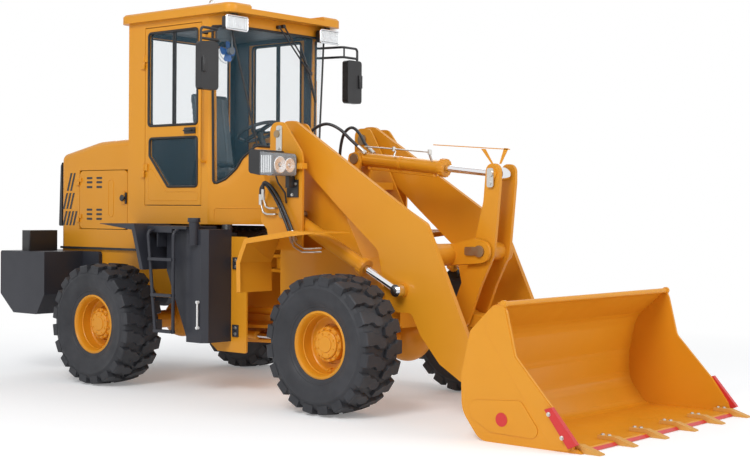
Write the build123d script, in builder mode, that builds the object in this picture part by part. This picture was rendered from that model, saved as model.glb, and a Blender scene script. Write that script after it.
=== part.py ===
from build123d import *
import os
from math import atan2, cos, degrees, hypot, radians, sin, tan

# Compact articulated wheel loader, 2 tonne class. Millimetres.
# +X is forward, +Y is the machine's left, +Z is up and the ground is z = 0.
# Every x below is measured from the articulation axis, and the helpers add articulation_x,
# which puts the origin in the middle of the overall length.

# ------------------------------------------------------------------ driving dimensions
articulation_x = -500.0
wheelbase = 2665.0
track = 1780.0
tyre_radius = 525.0
tyre_width = 410.0
rim_radius = 254.0
running = 0.05            # radial clearance of a pin in its bore
seat_gap = 0.3            # gap between curved faces that seat on each other
clear = 5.0               # clearance between pieces that move past each other

frame_y = 600.0           # outer face of the rear frame's side plates at the hitch
rail_y = 530.0            # outer face of the rear frame's rails beside the engine
plate = 16.0              # thickness of frame plates
hood_y = 550.0
hood_wall = 25.0
cab_y = 650.0
cab_base_z = 1400.0
cab_height = 1760.0
cab_wall = 32.0
door_gap = 6.0
counterweight_y = 1000.0
tank_y = 900.0
deck_z = 1385.0

wall_y = 398.0            # outer face of the front frame's inner walls
ear_y = 660.0             # outer face of the towers' outer plates
ear_plate = 20.0
arm_y = 515.0             # outer face of the boom arms
arm_plate = 40.0
lift_cylinder_radius = 55.0
lift_rod_radius = 27.5
tilt_cylinder_radius = 55.0
tilt_rod_radius = 27.5
steer_cylinder_radius = 34.0
steer_rod_radius = 18.0
pin_radius = 30.0
flag = (130.0, 64.0, 14.0)   # length, width and thickness of the plate that locks a pin
bucket_y = 1115.0         # outer face of the bucket's side plates
bucket_plate = 20.0
tooth_count = 6

# Pivot points, (x, z)
boom_pivot = (513, 2133)
tilt_base = (831, 1948)
lift_base = (573, 1490)
lift_end = (1698, 926)
rocker_top = (2230, 1807)
rocker_pivot = (2149, 1223)
rocker_foot = (1933, 706)
bucket_pivot = (2605, 262)
bucket_link = (2548, 605)
steer_rear = (-480, 270)    # (x, y)
steer_front = (230, 320)    # (x, y)
steer_z = 460.0
front_ball = 200.0
hinge_low_z = 455.0
hinge_high_z = 1065.0
shaft_z = 620.0

# ------------------------------------------------------------------ worked-out values
front_axle = wheelbase / 2
rear_axle = -wheelbase / 2
wheel_y = track / 2
tyre_inner_y = wheel_y - tyre_width / 2
hub_inner_y = wheel_y - 150
cab_top_z = cab_base_z + cab_height
lift_y = (arm_y + ear_y - ear_plate) / 2
arm_inner_y = arm_y - arm_plate
wall_inner_y = wall_y - plate

os.makedirs("parts", exist_ok=True)


def at(x, y, z):
    """A point of the row frame from one measured from the articulation axis."""
    return (articulation_x + x, y, z)


def block(x_range, y_range, z_range, mode=Mode.ADD):
    """A box between two values along each axis."""
    ranges = (x_range, y_range, z_range)
    middle = [(low + high) / 2 for low, high in ranges]
    size = [high - low for low, high in ranges]
    with Locations(at(*middle)):
        Box(*size, mode=mode)


def side_plate(outline, y_range, radius=0, mode=Mode.ADD):
    """A plate with an (x, z) outline, rounded at its corners, between two values of y."""
    points = [(articulation_x + x, z) for x, z in outline]
    with BuildSketch(Plane.XZ.offset(-y_range[0])) as face:
        with BuildLine():
            FilletPolyline(*points, radius=radius, close=True)
        make_face()
    extrude(face.sketch, amount=-(y_range[1] - y_range[0]), mode=mode)


def floor_plate(outline, z_range, radius=0, mode=Mode.ADD):
    """A level plate with an (x, y) outline between two heights."""
    points = [(articulation_x + x, y) for x, y in outline]
    with BuildSketch(Plane.XY.offset(z_range[0])) as face:
        with BuildLine():
            FilletPolyline(*points, radius=radius, close=True)
        make_face()
    extrude(face.sketch, amount=z_range[1] - z_range[0], mode=mode)


def cross_cylinder(point, y_range, radius, mode=Mode.ADD):
    """A cylinder along Y through an (x, z) point."""
    with BuildSketch(Plane.XZ.offset(-y_range[0])) as face:
        with Locations((articulation_x + point[0], point[1])):
            Circle(radius)
    extrude(face.sketch, amount=-(y_range[1] - y_range[0]), mode=mode)


def upright_cylinder(point, z_range, radius, mode=Mode.ADD):
    """A cylinder along Z through an (x, y) point."""
    with BuildSketch(Plane.XY.offset(z_range[0])) as face:
        with Locations((articulation_x + point[0], point[1])):
            Circle(radius)
    extrude(face.sketch, amount=z_range[1] - z_range[0], mode=mode)


def rod_between(start, end, radius, mode=Mode.ADD):
    """A round bar between two points (x, y, z)."""
    low, high = Vector(*at(*start)), Vector(*at(*end))
    with BuildSketch(Plane(origin=low, z_dir=high - low)) as face:
        Circle(radius)
    extrude(face.sketch, amount=(high - low).length, mode=mode)


def bent_tube(points, bend, radius):
    """A round bar along straight runs joined by bends of one radius."""
    with BuildLine() as path:
        FilletPolyline(*[at(*point) for point in points], radius=bend)
    with BuildSketch(Plane(origin=path.line @ 0, z_dir=path.line % 0)) as face:
        Circle(radius)
    sweep(face.sketch, path=path.line)


def hinge_post(x, face_y, side, z, knuckle, height):
    """The fixed half of a door hinge: leaf, knuckle, and the pin that stands on it."""
    axis = (x, side * (face_y + knuckle + 2))
    block((x - 4 * knuckle, x), sorted((side * face_y, axis[1])), (z, z + height))
    upright_cylinder(axis, (z, z + height), knuckle)
    upright_cylinder(axis, (z + height, z + 2 * height), knuckle / 2)


def hinge_leaf(x, face_y, side, z, knuckle, height):
    """The door's half of a hinge, which turns on the pin of the fixed half."""
    axis = (x, side * (face_y + knuckle + 2))
    span = (z + height + 0.5, z + 2 * height)
    block((x + door_gap, x + 4 * knuckle), sorted((side * face_y, axis[1])), span)
    block((x, x + 2 * knuckle), sorted((axis[1] - side * 8, axis[1])), span)
    upright_cylinder(axis, span, knuckle)
    upright_cylinder(axis, (z, z + 3 * height), knuckle / 2 + running, mode=Mode.SUBTRACT)


def pin_flag(point, side, start_y):
    """The plate on the end of a pin that keeps it from turning, with its washer."""
    y_range = sorted((side * start_y, side * (start_y + flag[2])))
    cross_cylinder(point, y_range, pin_radius + 14)
    side_plate([(point[0] - flag[0], point[1] - flag[1] / 2), (point[0], point[1] - flag[1] / 2),
                (point[0], point[1] + flag[1] / 2), (point[0] - flag[0], point[1] + flag[1] / 2)],
               y_range, radius=[14, 0, 0, 14])


def write(piece, name):
    """Label a finished sub-part and write its file."""
    piece.part.label = name
    export_step(piece.part, f"parts/{name}.step")


# ================================================================== rear half
# ------------------------------------------------------------------ rear frame
bulkhead_x = -560.0
rail_end = -2440.0
hitch_front = 110.0
rail_z = (720, 1164)
with BuildPart() as rear_frame:
    side_plate(
        [(hitch_front, 340), (-230, 340), (bulkhead_x, 560), (bulkhead_x, 1300), (hitch_front, 1300)],
        (frame_y - plate, frame_y), radius=20)
    side_plate(
        [(bulkhead_x + plate, rail_z[0]), (-900, rail_z[0] + 30), (rail_end, rail_z[0] + 30),
         (rail_end, rail_z[1]), (bulkhead_x + plate, rail_z[1])],
        (rail_y - plate, rail_y))
    block((bulkhead_x, bulkhead_x + plate), (0, frame_y - plate), (560, 1300))
    block((-1250, -1250 + plate), (0, rail_y - plate), (rail_z[0] + 30, rail_z[1]))
    block((rail_end, rail_end + plate), (0, rail_y - plate), (rail_z[0] + 30, rail_z[1]))
    block((bulkhead_x - 90, bulkhead_x), (0, rail_y - plate), (rail_z[1] - plate, rail_z[1]))
    # fork plates of the hitch, two low and two high, and their brackets for the steering cylinders
    for middle_z in (hinge_low_z, hinge_high_z):
        for low_z in (middle_z - 75, middle_z + 50):
            floor_plate([(bulkhead_x + plate, 0), (bulkhead_x + plate, 260), (-60, 100), (100, 100), (100, 0)],
                        (low_z, low_z + 25), radius=[0, 0, 40, 95, 0])
    block((bulkhead_x, bulkhead_x + plate), (0, 345), (hinge_low_z - 75, 562))
    for low_z in (steer_z - 57, steer_z + 41):
        block((bulkhead_x + plate, steer_rear[0]), (steer_rear[1] - 45, steer_rear[1] + 45), (low_z, low_z + plate))
        upright_cylinder(steer_rear, (low_z, low_z + plate), 45)
    # spring pads on the rear axle
    block((rear_axle - 110, rear_axle + 110), (rail_y - 90, rail_y), (tyre_radius + 80 + seat_gap, rail_z[0] + 30))
    mirror(about=Plane.XZ)
    for middle_z in (hinge_low_z, hinge_high_z):
        upright_cylinder((0, 0), (middle_z - 80, middle_z + 80), pin_radius + running, mode=Mode.SUBTRACT)
    for side in (-1, 1):
        upright_cylinder((steer_rear[0], side * steer_rear[1]), (steer_z - 60, steer_z + 60),
                         pin_radius - 8 + running, mode=Mode.SUBTRACT)
write(rear_frame, "rear_frame")

with BuildPart() as hinge_pins:
    for middle_z in (hinge_low_z, hinge_high_z):
        upright_cylinder((0, 0), (middle_z - 78, middle_z + 78), pin_radius)
        upright_cylinder((0, 0), (middle_z + 76, middle_z + 90), pin_radius + 18)
    for side in (-1, 1):
        upright_cylinder((steer_rear[0], side * steer_rear[1]), (steer_z - 58, steer_z + 58), pin_radius - 8)
        upright_cylinder((steer_rear[0], side * steer_rear[1]), (steer_z + 57, steer_z + 65), pin_radius - 3)
write(hinge_pins, "hinge_pins")

# ------------------------------------------------------------------ counterweight
weight_rear = -2757.0
weight_front = -2085.0
weight_top = 1130.0
with BuildPart() as counterweight:
    side_plate([(weight_rear, weight_top), (weight_rear, 730), (weight_rear + 205, 560), (-2200, 560),
                (weight_front, 745), (weight_front, weight_top)],
               (-counterweight_y, counterweight_y), radius=[25, 15, 15, 15, 15, 0])
    side_plate([(weight_front - 10, weight_top), (weight_front - 10, 900), (-1950, 900),
                (-1850, 1000), (-1850, weight_top)], (rail_y, rail_y + 40), radius=[0, 0, 0, 30, 30])
    side_plate([(weight_front - 10, weight_top), (weight_front - 10, 900), (-1950, 900),
                (-1850, 1000), (-1850, weight_top)], (-rail_y - 40, -rail_y), radius=[0, 0, 0, 30, 30])
    block((rail_end, weight_front + 1), (-rail_y, rail_y), (559, rail_z[1] + 1), mode=Mode.SUBTRACT)
    # towing jaw: a slot in the rear face with an upright pin bore
    block((weight_rear - 1, weight_rear + 130), (-90, 90), (780, 860), mode=Mode.SUBTRACT)
    upright_cylinder((weight_rear + 65, 0), (700, 1200), 16, mode=Mode.SUBTRACT)
write(counterweight, "counterweight")

# ------------------------------------------------------------------ hood, grille, side doors, engine
hood_front = -1346.0
hood_rear = -2450.0
hood_base = rail_z[1]
hood_top_front = 2160.0
hood_top_rear = 2060.0
side_door_x = (-2165.0, -1470.0)
side_door_z = (1335.0, 1880.0)
side_door_hinge_z = (1400.0, 1740.0)
hood_outline = [(hood_front, hood_base), (hood_front, hood_top_front), (-1900, hood_top_front - 20),
                (hood_rear, hood_top_rear - 30), (hood_rear, hood_base)]
with BuildPart() as hood:
    side_plate(hood_outline, (-hood_y, hood_y), radius=[0, 0, 600, 70, 0])
    top_edges = hood.edges().filter_by(lambda e: abs(abs((e @ 0.5).Y) - hood_y) < 1 and (e @ 0.5).Z > 1950)
    fillet(top_edges, 60)
    side_plate([(hood_front + 1, hood_base - 1), (hood_front + 1, hood_top_front - hood_wall),
                (-1900, hood_top_front - 20 - hood_wall), (hood_rear + hood_wall, hood_top_rear - 30 - hood_wall),
                (hood_rear + hood_wall, hood_base - 1)],
               (-hood_y + hood_wall, hood_y - hood_wall), radius=[0, 0, 600, 50, 0], mode=Mode.SUBTRACT)
    for y_range in ((-hood_y - 1, -hood_y + hood_wall + 1), (hood_y - hood_wall - 1, hood_y + 1)):
        block(side_door_x, y_range, side_door_z, mode=Mode.SUBTRACT)
    for side in (-1, 1):
        for z in side_door_hinge_z:
            hinge_post(side_door_x[0], hood_y, side, z, 9, 35)
write(hood, "hood")

# black rear grille, and the lamp boxes on the counterweight
with BuildPart() as rear_grille:
    side_plate([(hood_rear, 1360), (hood_rear, 1960), (hood_rear - 22, 1930), (hood_rear - 45, 1360)],
               (-hood_y + 15, hood_y - 15), radius=[0, 0, 30, 15])
    for side in (-1, 1):
        lamp_box_y = sorted((side * 580, side * 900))
        block((hood_rear - 120, hood_rear), lamp_box_y, (weight_top, weight_top + 190))
    fillet(rear_grille.edges().filter_by(Axis.Z).filter_by(lambda e: abs((e @ 0.5).Y) > 570 and (e @ 0.5).Z < 1350), 12)
write(rear_grille, "rear_grille")

with BuildPart() as engine:
    block((-2250, -1500), (-280, 280), (rail_z[1] - 60, 1850))
    for side in (-1, 1):
        for x in (-2150, -1600):
            block((x - 40, x + 40), (min(side * 270, side * (rail_y - plate)), max(side * 270, side * (rail_y - plate))),
                  (rail_z[1] - 40, rail_z[1] + 40))
write(engine, "engine")

for side_name, side in (("right", -1), ("left", 1)):
    inner, outer = side * (hood_y - 22), side * hood_y
    with BuildPart() as side_door:
        side_plate([(side_door_x[0] + door_gap, side_door_z[0] + door_gap),
                    (side_door_x[0] + door_gap, side_door_z[1] - door_gap),
                    (side_door_x[1] - door_gap, side_door_z[1] - door_gap),
                    (side_door_x[1] - door_gap, side_door_z[0] + door_gap)],
                   (min(inner, outer), max(inner, outer)), radius=50)
        block((side_door_x[1] - 75, side_door_x[1] - 25), (min(outer, outer + side * 18), max(outer, outer + side * 18)),
              (1570, 1680))
        for z in side_door_hinge_z:
            hinge_leaf(side_door_x[0], hood_y, side, z, 9, 35)
    write(side_door, f"engine_door_{side_name}")

# ------------------------------------------------------------------ gearbox, shafts, rear axle
with BuildPart() as gearbox:
    block((-1120, bulkhead_x - 95), (-270, 270), (540, rail_z[1] - 20))
    chamfer(gearbox.edges().filter_by(Axis.Y), 60)
    block((-1060, -980), (-rail_y + plate, rail_y - plate), (rail_z[0] + 40, rail_z[0] + 160))
    rod_between((bulkhead_x - 100, 0, shaft_z + 20), (bulkhead_x, 0, shaft_z + 20), 60)
    # centre shaft in front of the bulkhead, up to the joint in the hitch
    rod_between((bulkhead_x + plate, 0, shaft_z + 20), (-60, 0, shaft_z + 20), 32)
    with Locations(at(0, 0, shaft_z + 20)):
        Sphere(38)
    block((-70, 0), (-25, 25), (shaft_z - 5, shaft_z + 45))
write(gearbox, "gearbox")


def axle(centre_x, ball_radius, nose):
    """An axle: tubes, ball, nose towards the gearbox, flanges and spindles."""
    centre = (centre_x, tyre_radius)
    cross_cylinder(centre, (-hub_inner_y + 70, hub_inner_y - 70), 80)
    with Locations(at(centre_x, 0, tyre_radius)):
        Sphere(ball_radius)
    for side in (-1, 1):
        flange = sorted((side * (hub_inner_y - 75), side * (hub_inner_y - clear)))
        spindle = sorted((side * (hub_inner_y - 75), side * (wheel_y - 20)))
        cross_cylinder(centre, flange, 120)
        cross_cylinder(centre, spindle, 65)
    rod_between((centre_x, 0, tyre_radius + 40), (centre_x + nose, 0, tyre_radius + 40), 55)


with BuildPart() as rear_axle_housing:
    axle(rear_axle, 175, -1120 - rear_axle)
write(rear_axle_housing, "rear_axle")

# ------------------------------------------------------------------ tanks, decks, ladders, rear fenders
tank_x = (-290.0, -70.0)
tank_z = (430.0, 1360.0)
box_front = tank_x[0]
tank_rear = -615.0
for side_name, side in (("right", -1), ("left", 1)):
    with BuildPart() as tank:
        corner = [(tank_x[0], side * frame_y), (tank_x[0], side * tank_y), (tank_x[1] - 45, side * tank_y),
                  (tank_x[1], side * (tank_y - 45)), (tank_x[1], side * frame_y)]
        floor_plate(corner, tank_z)
        # the rear part slopes away from the tyre
        side_plate([(tank_rear, tank_z[1]), (tank_rear, tank_z[1] - 350), (tank_rear + 250, tank_z[0] + 30),
                    (box_front + 1, tank_z[0] + 30), (box_front + 1, tank_z[1])],
                   sorted((side * frame_y, side * (tank_y - 70))))
        upright_cylinder((tank_x[0] + 100, side * (tank_y + 10)), (tank_z[1] - 130, tank_z[1] + 60), 42)
        upright_cylinder((tank_x[0] + 100, side * (tank_y + 10)), (tank_z[1] + 60, tank_z[1] + 95), 52)
    write(tank, f"tank_{side_name}")

ladder_y = 1000.0
ladder_x = (-660.0, -340.0)
with BuildPart() as decks:
    for side in (-1, 1):
        y_range = sorted((side * frame_y, side * (tank_y + 40)))
        block((-740, tank_x[0] + 40), y_range, (tank_z[1], deck_z))
        y_edge = sorted((side * (tank_y + 10), side * (tank_y + 40)))
        block((-740, tank_x[0] - 140.5), y_edge, (tank_z[1] - 30, deck_z))
        y_bracket = sorted((side * frame_y, side * (tank_y + 20)))
        block((-640, -625), y_bracket, (tank_z[1] - 150, tank_z[1]))
write(decks, "decks")

with BuildPart() as ladders:
    for side in (-1, 1):
        for top_x, foot_x in ((ladder_x[0], ladder_x[0] + 100), (ladder_x[1], ladder_x[1])):
            bent_tube([(top_x, side * (tank_y + 40), tank_z[1] - 12), (top_x, side * ladder_y, tank_z[1] - 12),
                       (foot_x, side * ladder_y, 500)], 45, 14)
        for share in (0.28, 0.63, 0.98):
            z = tank_z[1] - 12 - share * 850
            low_x = ladder_x[0] + 100 * share
            y_range = sorted((side * (ladder_y - 25), side * (ladder_y + 25)))
            block((low_x, ladder_x[1]), y_range, (z - 12, z + 12))
write(ladders, "ladders")

with BuildPart() as rear_fenders:
    for side in (-1, 1):
        inner, outer = sorted((side * (hood_y + 10), side * 1050))
        side_plate([(-1230, 1394), (-1230, 1400), (-782, 1400), (-662, 1020), (-668, 1018), (-786, 1394)],
                   (inner, outer))
        lip = sorted((side * 1045, side * 1050))
        side_plate([(-1230, 1397), (-784, 1399), (-664, 1020), (-702, 1020), (-810, 1350)], lip)
write(rear_fenders, "rear_fenders")

# ------------------------------------------------------------------ cab
cab_rear = -1340.0
post_front = -310.0
nose_base = (92.0, 255.0)         # (x, half width) of the nose at the base
nose_top = (-131.0, 593.0)        # and at the roof
door_x = (-1120.0, -390.0)
door_z = (1556.0, cab_top_z - 51)
door_hinge_z = (1800.0, 2750.0)
screen_base_z = 2060.0


def cab_plan(nose, z, inset):
    """The plan of the cab at a height, narrower by an inset on every side."""
    corners = [(cab_rear, -cab_y), (post_front, -cab_y), (nose[0], -nose[1]),
               (nose[0], nose[1]), (post_front, cab_y), (cab_rear, cab_y)]
    with BuildSketch(Plane.XY.offset(z)) as plan:
        with BuildLine():
            Polyline(*[(articulation_x + x, y) for x, y in corners], close=True)
        make_face()
        if inset > 0:
            offset(amount=-inset, kind=Kind.INTERSECTION, mode=Mode.REPLACE)
    return plan.sketch


def cab_block(inset, low_z, high_z, mode=Mode.ADD):
    """The solid between the base plan and the roof plan, cut off at two heights."""
    with BuildPart(mode=Mode.PRIVATE) as solid:
        loft([cab_plan(nose_base, cab_base_z, inset), cab_plan(nose_top, cab_top_z, inset)], ruled=True)
        split(bisect_by=Plane.XY.offset(low_z), keep=Keep.TOP)
        split(bisect_by=Plane.XY.offset(high_z), keep=Keep.BOTTOM)
    add(solid.part, mode=mode)


def nose_edge(z):
    """The x of the windscreen plane at a height."""
    share = (z - cab_base_z) / cab_height
    return nose_base[0] + share * (nose_top[0] - nose_base[0])


window_top = cab_top_z - 100
# side view of the opening that runs round the nose from one post to the other
nose_window = [(post_front + 34, 1735), (-199, 1785), (-133, 1870), (nose_edge(screen_base_z) - 100, 1960),
               (nose_edge(screen_base_z) - 14, screen_base_z), (nose_base[0], screen_base_z),
               (nose_base[0], window_top), (post_front + 34, window_top)]
rear_window = ((cab_rear - 1, cab_rear + cab_wall + 1), (-cab_y + 90, cab_y - 90), (2230, window_top))
with BuildPart() as cab_frame:
    cab_block(0, cab_base_z, cab_top_z)
    cab_block(cab_wall, cab_base_z + 40, cab_top_z - 30, mode=Mode.SUBTRACT)
    side_plate([(door_x[0], door_z[0]), (door_x[1], door_z[0]), (door_x[1], door_z[1]), (door_x[0], door_z[1])],
               (-cab_y - 1, cab_y + 1), mode=Mode.SUBTRACT)
    side_plate(nose_window, (-cab_y - 1, cab_y + 1), mode=Mode.SUBTRACT)
    block(*rear_window, mode=Mode.SUBTRACT)
    block((-1100, -300), (-cab_y + 120, cab_y - 120), (cab_top_z - 31, cab_top_z + 1), mode=Mode.SUBTRACT)
    for side in (-1, 1):
        for z in door_hinge_z:
            hinge_post(door_x[0], cab_y, side, z, 12, 60)
write(cab_frame, "cab_frame")

with BuildPart() as cab_glass:
    cab_block(9, cab_base_z + 60, cab_top_z - 40)
    cab_block(15, cab_base_z + 50, cab_top_z - 30, mode=Mode.SUBTRACT)
    with BuildPart(mode=Mode.PRIVATE) as panes:
        side_plate(nose_window, (-cab_y - 1, cab_y + 1))
        block(*rear_window)
    add(panes.part, mode=Mode.INTERSECT)
write(cab_glass, "cab_glass")

roof_x = (-1420.0, 0.0)
roof_y = 700.0
roof_thickness = 80.0
dish_y = 450.0
with BuildPart() as cab_roof:
    block(roof_x, (-roof_y, roof_y), (cab_top_z, cab_top_z + roof_thickness))
    fillet(cab_roof.edges().filter_by(Axis.Z), 90)
    chamfer(cab_roof.faces().sort_by(Axis.Z)[-1].edges(), 18)
    block((roof_x[0] + 140, roof_x[1] + 1), (-dish_y, dish_y),
          (cab_top_z + roof_thickness - 35, cab_top_z + roof_thickness + 1), mode=Mode.SUBTRACT)
write(cab_roof, "cab_roof")

for side_name, side in (("right", -1), ("left", 1)):
    inner, outer = sorted((side * (cab_y - cab_wall), side * cab_y))
    door_low = (door_x[0] + door_gap, door_z[0] + door_gap)
    door_high = (door_x[1] - door_gap, door_z[1] - door_gap)
    lower_window = [(door_low[0] + 60, 1990), (door_low[0] + 300, 1720), (door_high[0] - 45, 1720),
                    (door_high[0] - 45, 2140), (door_low[0] + 60, 2140)]
    upper_window = [(door_low[0] + 45, 2250), (door_high[0] - 45, 2250),
                    (door_high[0] - 45, door_high[1] - 45), (door_low[0] + 45, door_high[1] - 45)]
    with BuildPart() as door:
        block((door_low[0], door_high[0]), (inner, outer), (door_low[1], door_high[1]))
        for window in (lower_window, upper_window):
            side_plate(window, (inner - 1, outer + 1), radius=20, mode=Mode.SUBTRACT)
        for z in door_hinge_z:
            hinge_leaf(door_x[0], cab_y, side, z, 12, 60)
    write(door, f"door_{side_name}")
    pane = sorted((side * (cab_y - 15), side * (cab_y - 9)))
    with BuildPart() as door_glass:
        for window in (lower_window, upper_window):
            side_plate(window, pane, radius=20)
    write(door_glass, f"door_glass_{side_name}")

with BuildPart() as cab_mounts:
    for side in (-1, 1):
        block((-260, -140), sorted((side * 470, side * frame_y)), (1300, 1330))
        upright_cylinder((-200, side * 530), (1330, cab_base_z), 45)
        block((-1310, -1210), sorted((side * (rail_y - 70), side * rail_y)), (rail_z[1], rail_z[1] + 30))
        upright_cylinder((-1260, side * (rail_y - 45)), (rail_z[1] + 30, cab_base_z), 42)
write(cab_mounts, "cab_mounts")

# ------------------------------------------------------------------ cab fittings
floor_z = cab_base_z + 40
with BuildPart() as seat:
    block((-900, -620), (-180, 180), (floor_z, floor_z + 330))
    block((-980, -500), (-240, 240), (floor_z + 330, floor_z + 450))
    fillet(seat.edges().filter_by(Axis.Z), 30)
    side_plate([(-980, floor_z + 440), (-860, floor_z + 440), (-960, floor_z + 1150), (-1060, floor_z + 1150)],
               (-230, 230), radius=40)
write(seat, "seat")

with BuildPart() as console:
    block((-230, -40), (-130, 130), (floor_z, floor_z + 420))
    rod_between((-190, 0, floor_z + 400), (-350, 0, floor_z + 760), 28)
    column_top = Plane(origin=at(-350, 0, floor_z + 760), z_dir=(-160, 0, 360))
    with BuildSketch(column_top) as wheel_face:
        Circle(200)
        Circle(178, mode=Mode.SUBTRACT)
        Rectangle(370, 36)
        Circle(50)
    extrude(wheel_face.sketch, amount=24)
write(console, "console")

with BuildPart() as handrails:
    for side in (-1, 1):
        rail_reach = side * (cab_y + 62)
        bent_tube([(-345, side * cab_y, 2740), (-345, rail_reach, 2740), (-345, rail_reach, 1925),
                   (-345, side * cab_y, 1925)], 45, 13)
write(handrails, "handrails")

with BuildPart() as mirrors:
    for side in (-1, 1):
        block((-95, -25), sorted((side * 800, side * 990)), (cab_top_z - 660, cab_top_z - 270))
    fillet(mirrors.edges().filter_by(Axis.X), 30)
    for side in (-1, 1):
        reach = [(-325, side * cab_y), (-325, side * (cab_y + 60)), (-60, side * (cab_y + 120)), (-60, side * 965)]
        bent_tube([(x, y, cab_top_z - 245) for x, y in reach], 30, 11)
        bent_tube([(x, y, cab_top_z - 155) for x, y in reach] + [(-60, side * 965, cab_top_z - 280)], 30, 11)
write(mirrors, "mirrors")

with BuildPart() as work_lights:
    for side in (-1, 1):
        y_range = sorted((side * 455, side * 690))
        block((-105, -50), y_range, (cab_top_z - 138, cab_top_z - 30))
    fillet(work_lights.edges().filter_by(Axis.X), 18)
    for side in (-1, 1):
        y_stem = sorted((side * 545, side * 600))
        block((-100, -70), y_stem, (cab_top_z - 30, cab_top_z))
write(work_lights, "work_lights")

# ================================================================== front half
# ------------------------------------------------------------------ front frame
wall_outline = [(300, 395), (820, 395), (1060, 625), (1580, 625), (1580, 760), (1200, 1150), (760, 1950),
                (590, 2228), (425, 2228), (425, 1650), (300, 1380)]
outer_outline = [(440, 1205), (400, 1370), (335, 1430), (335, 1480), (432, 1690), (432, 2228), (580, 2228), (775, 1985),
                 (790, 1920), (790, 1205)]
with BuildPart() as front_frame:
    side_plate(wall_outline, (wall_inner_y, wall_y), radius=[0, 60, 60, 30, 30, 60, 100, 70, 70, 60, 60])
    side_plate(outer_outline, (ear_y - ear_plate, ear_y), radius=[0, 30, 20, 40, 40, 75, 75, 40, 40, 0])
    # back plate, decks and slope between the walls
    block((300, 300 + plate), (0, wall_inner_y), (395, 1330))
    block((300, 820), (0, wall_inner_y), (395, 395 + plate))
    block((1060, 1580), (0, wall_inner_y), (625, 625 + plate))
    block((300, 1000), (0, wall_inner_y), (1330, 1330 + plate))
    side_plate([(1560, 641), (1578, 641), (1578, 755), (1190, 1150), (985, 1520), (965, 1510), (1175, 1135),
                (1560, 745)], (0, wall_inner_y))
    # bracket of the tilt cylinder
    block((700, 860), (0, wall_inner_y), (1700, 1760))
    side_plate([(720, 1755), (850, 1755), (tilt_base[0] + 62, tilt_base[1] - 30), (tilt_base[0] + 30, tilt_base[1] + 62),
                (tilt_base[0] - 62, tilt_base[1] + 40)], (58, 84), radius=[0, 0, 30, 30, 30])
    # tower: floor and rear wall between inner wall and outer plate
    block((440, 790), (wall_y, ear_y - ear_plate), (1205, 1205 + plate))
    block((460, 460 + plate), (wall_y, ear_y - ear_plate), (1205, 1420))
    # stop on the front edge of the outer plate
    block((700, 822), (ear_y - ear_plate, ear_y + 35), (1850, 1895))
    # tongues of the hitch and brackets of the steering cylinders
    for middle_z in (hinge_low_z, hinge_high_z):
        floor_plate([(300, 0), (300, 220), (60, 95), (-95, 95), (-95, 0)], (middle_z - 45, middle_z + 45),
                    radius=[0, 0, 40, 94, 0])
    for low_z in (steer_z - 57, steer_z + 41):
        block((steer_front[0], 305), (steer_front[1] - 40, steer_front[1] + 40), (low_z, low_z + plate))
        upright_cylinder(steer_front, (low_z, low_z + plate), 40)
    # pads on the front axle
    block((front_axle - 110, front_axle + 110), (wall_inner_y - 60, wall_y), (tyre_radius + 80 + seat_gap, 626))
    mirror(about=Plane.XZ)
    for middle_z in (hinge_low_z, hinge_high_z):
        upright_cylinder((0, 0), (middle_z - 80, middle_z + 80), pin_radius + running, mode=Mode.SUBTRACT)
    for side in (-1, 1):
        upright_cylinder((steer_front[0], side * steer_front[1]), (steer_z - 60, steer_z + 60),
                         pin_radius - 8 + running, mode=Mode.SUBTRACT)
        for point in (boom_pivot, lift_base):
            cross_cylinder(point, sorted((side * (wall_inner_y - 2), side * (ear_y + 2))), pin_radius + running,
                           mode=Mode.SUBTRACT)
    cross_cylinder(tilt_base, (-90, 90), pin_radius + running, mode=Mode.SUBTRACT)
    block((280, 330), (-55, 55), (shaft_z - 35, shaft_z + 75), mode=Mode.SUBTRACT)
    with Locations(at(front_axle, 0, tyre_radius)):
        Sphere(front_ball + 12, mode=Mode.SUBTRACT)
write(front_frame, "front_frame")

with BuildPart() as frame_pins:
    for side in (-1, 1):
        for point in (boom_pivot, lift_base):
            cross_cylinder(point, sorted((side * (wall_inner_y - 14), side * (ear_y + 14))), pin_radius)
            cross_cylinder(point, sorted((side * (wall_inner_y - 14), side * (wall_inner_y - 2))), pin_radius + 14)
        for z_range in ((steer_z - 58, steer_z - 41), (steer_z + 41, steer_z + 66)):
            upright_cylinder((steer_front[0], side * steer_front[1]), z_range, pin_radius - 8)
    cross_cylinder(tilt_base, (-98, 98), pin_radius)
    for side in (-1, 1):
        cross_cylinder(tilt_base, sorted((side * 86, side * 98)), pin_radius + 12)
write(frame_pins, "frame_pins")

with BuildPart() as front_axle_housing:
    axle(front_axle, front_ball, -330)
    # front shaft, from the hitch joint to the nose of the axle
    shaft_end_x = front_axle - 330 - 34 - seat_gap
    rod_between((46, 0, shaft_z + 20), (shaft_end_x, 0, tyre_radius + 40), 30)
    with Locations(at(shaft_end_x, 0, tyre_radius + 40)):
        Sphere(34)
write(front_axle_housing, "front_axle")

fender_outline = [(458, 880), (450, 1115), (538, 1300), (1033, 1368), (1290, 1358)]
fender_y = (ear_y, 1050.0)
with BuildPart() as front_fenders:
    for side in (-1, 1):
        back = [(x + 6, z - 6) for x, z in reversed(fender_outline)]
        side_plate(fender_outline + back, sorted((side * fender_y[0], side * fender_y[1])))
        lip_back = [(1260, 1350), (1033, 1325), (565, 1262), (495, 1110), (500, 880)]
        side_plate(fender_outline + lip_back, sorted((side * (fender_y[1] - 6), side * fender_y[1])))
write(front_fenders, "front_fenders")

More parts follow.
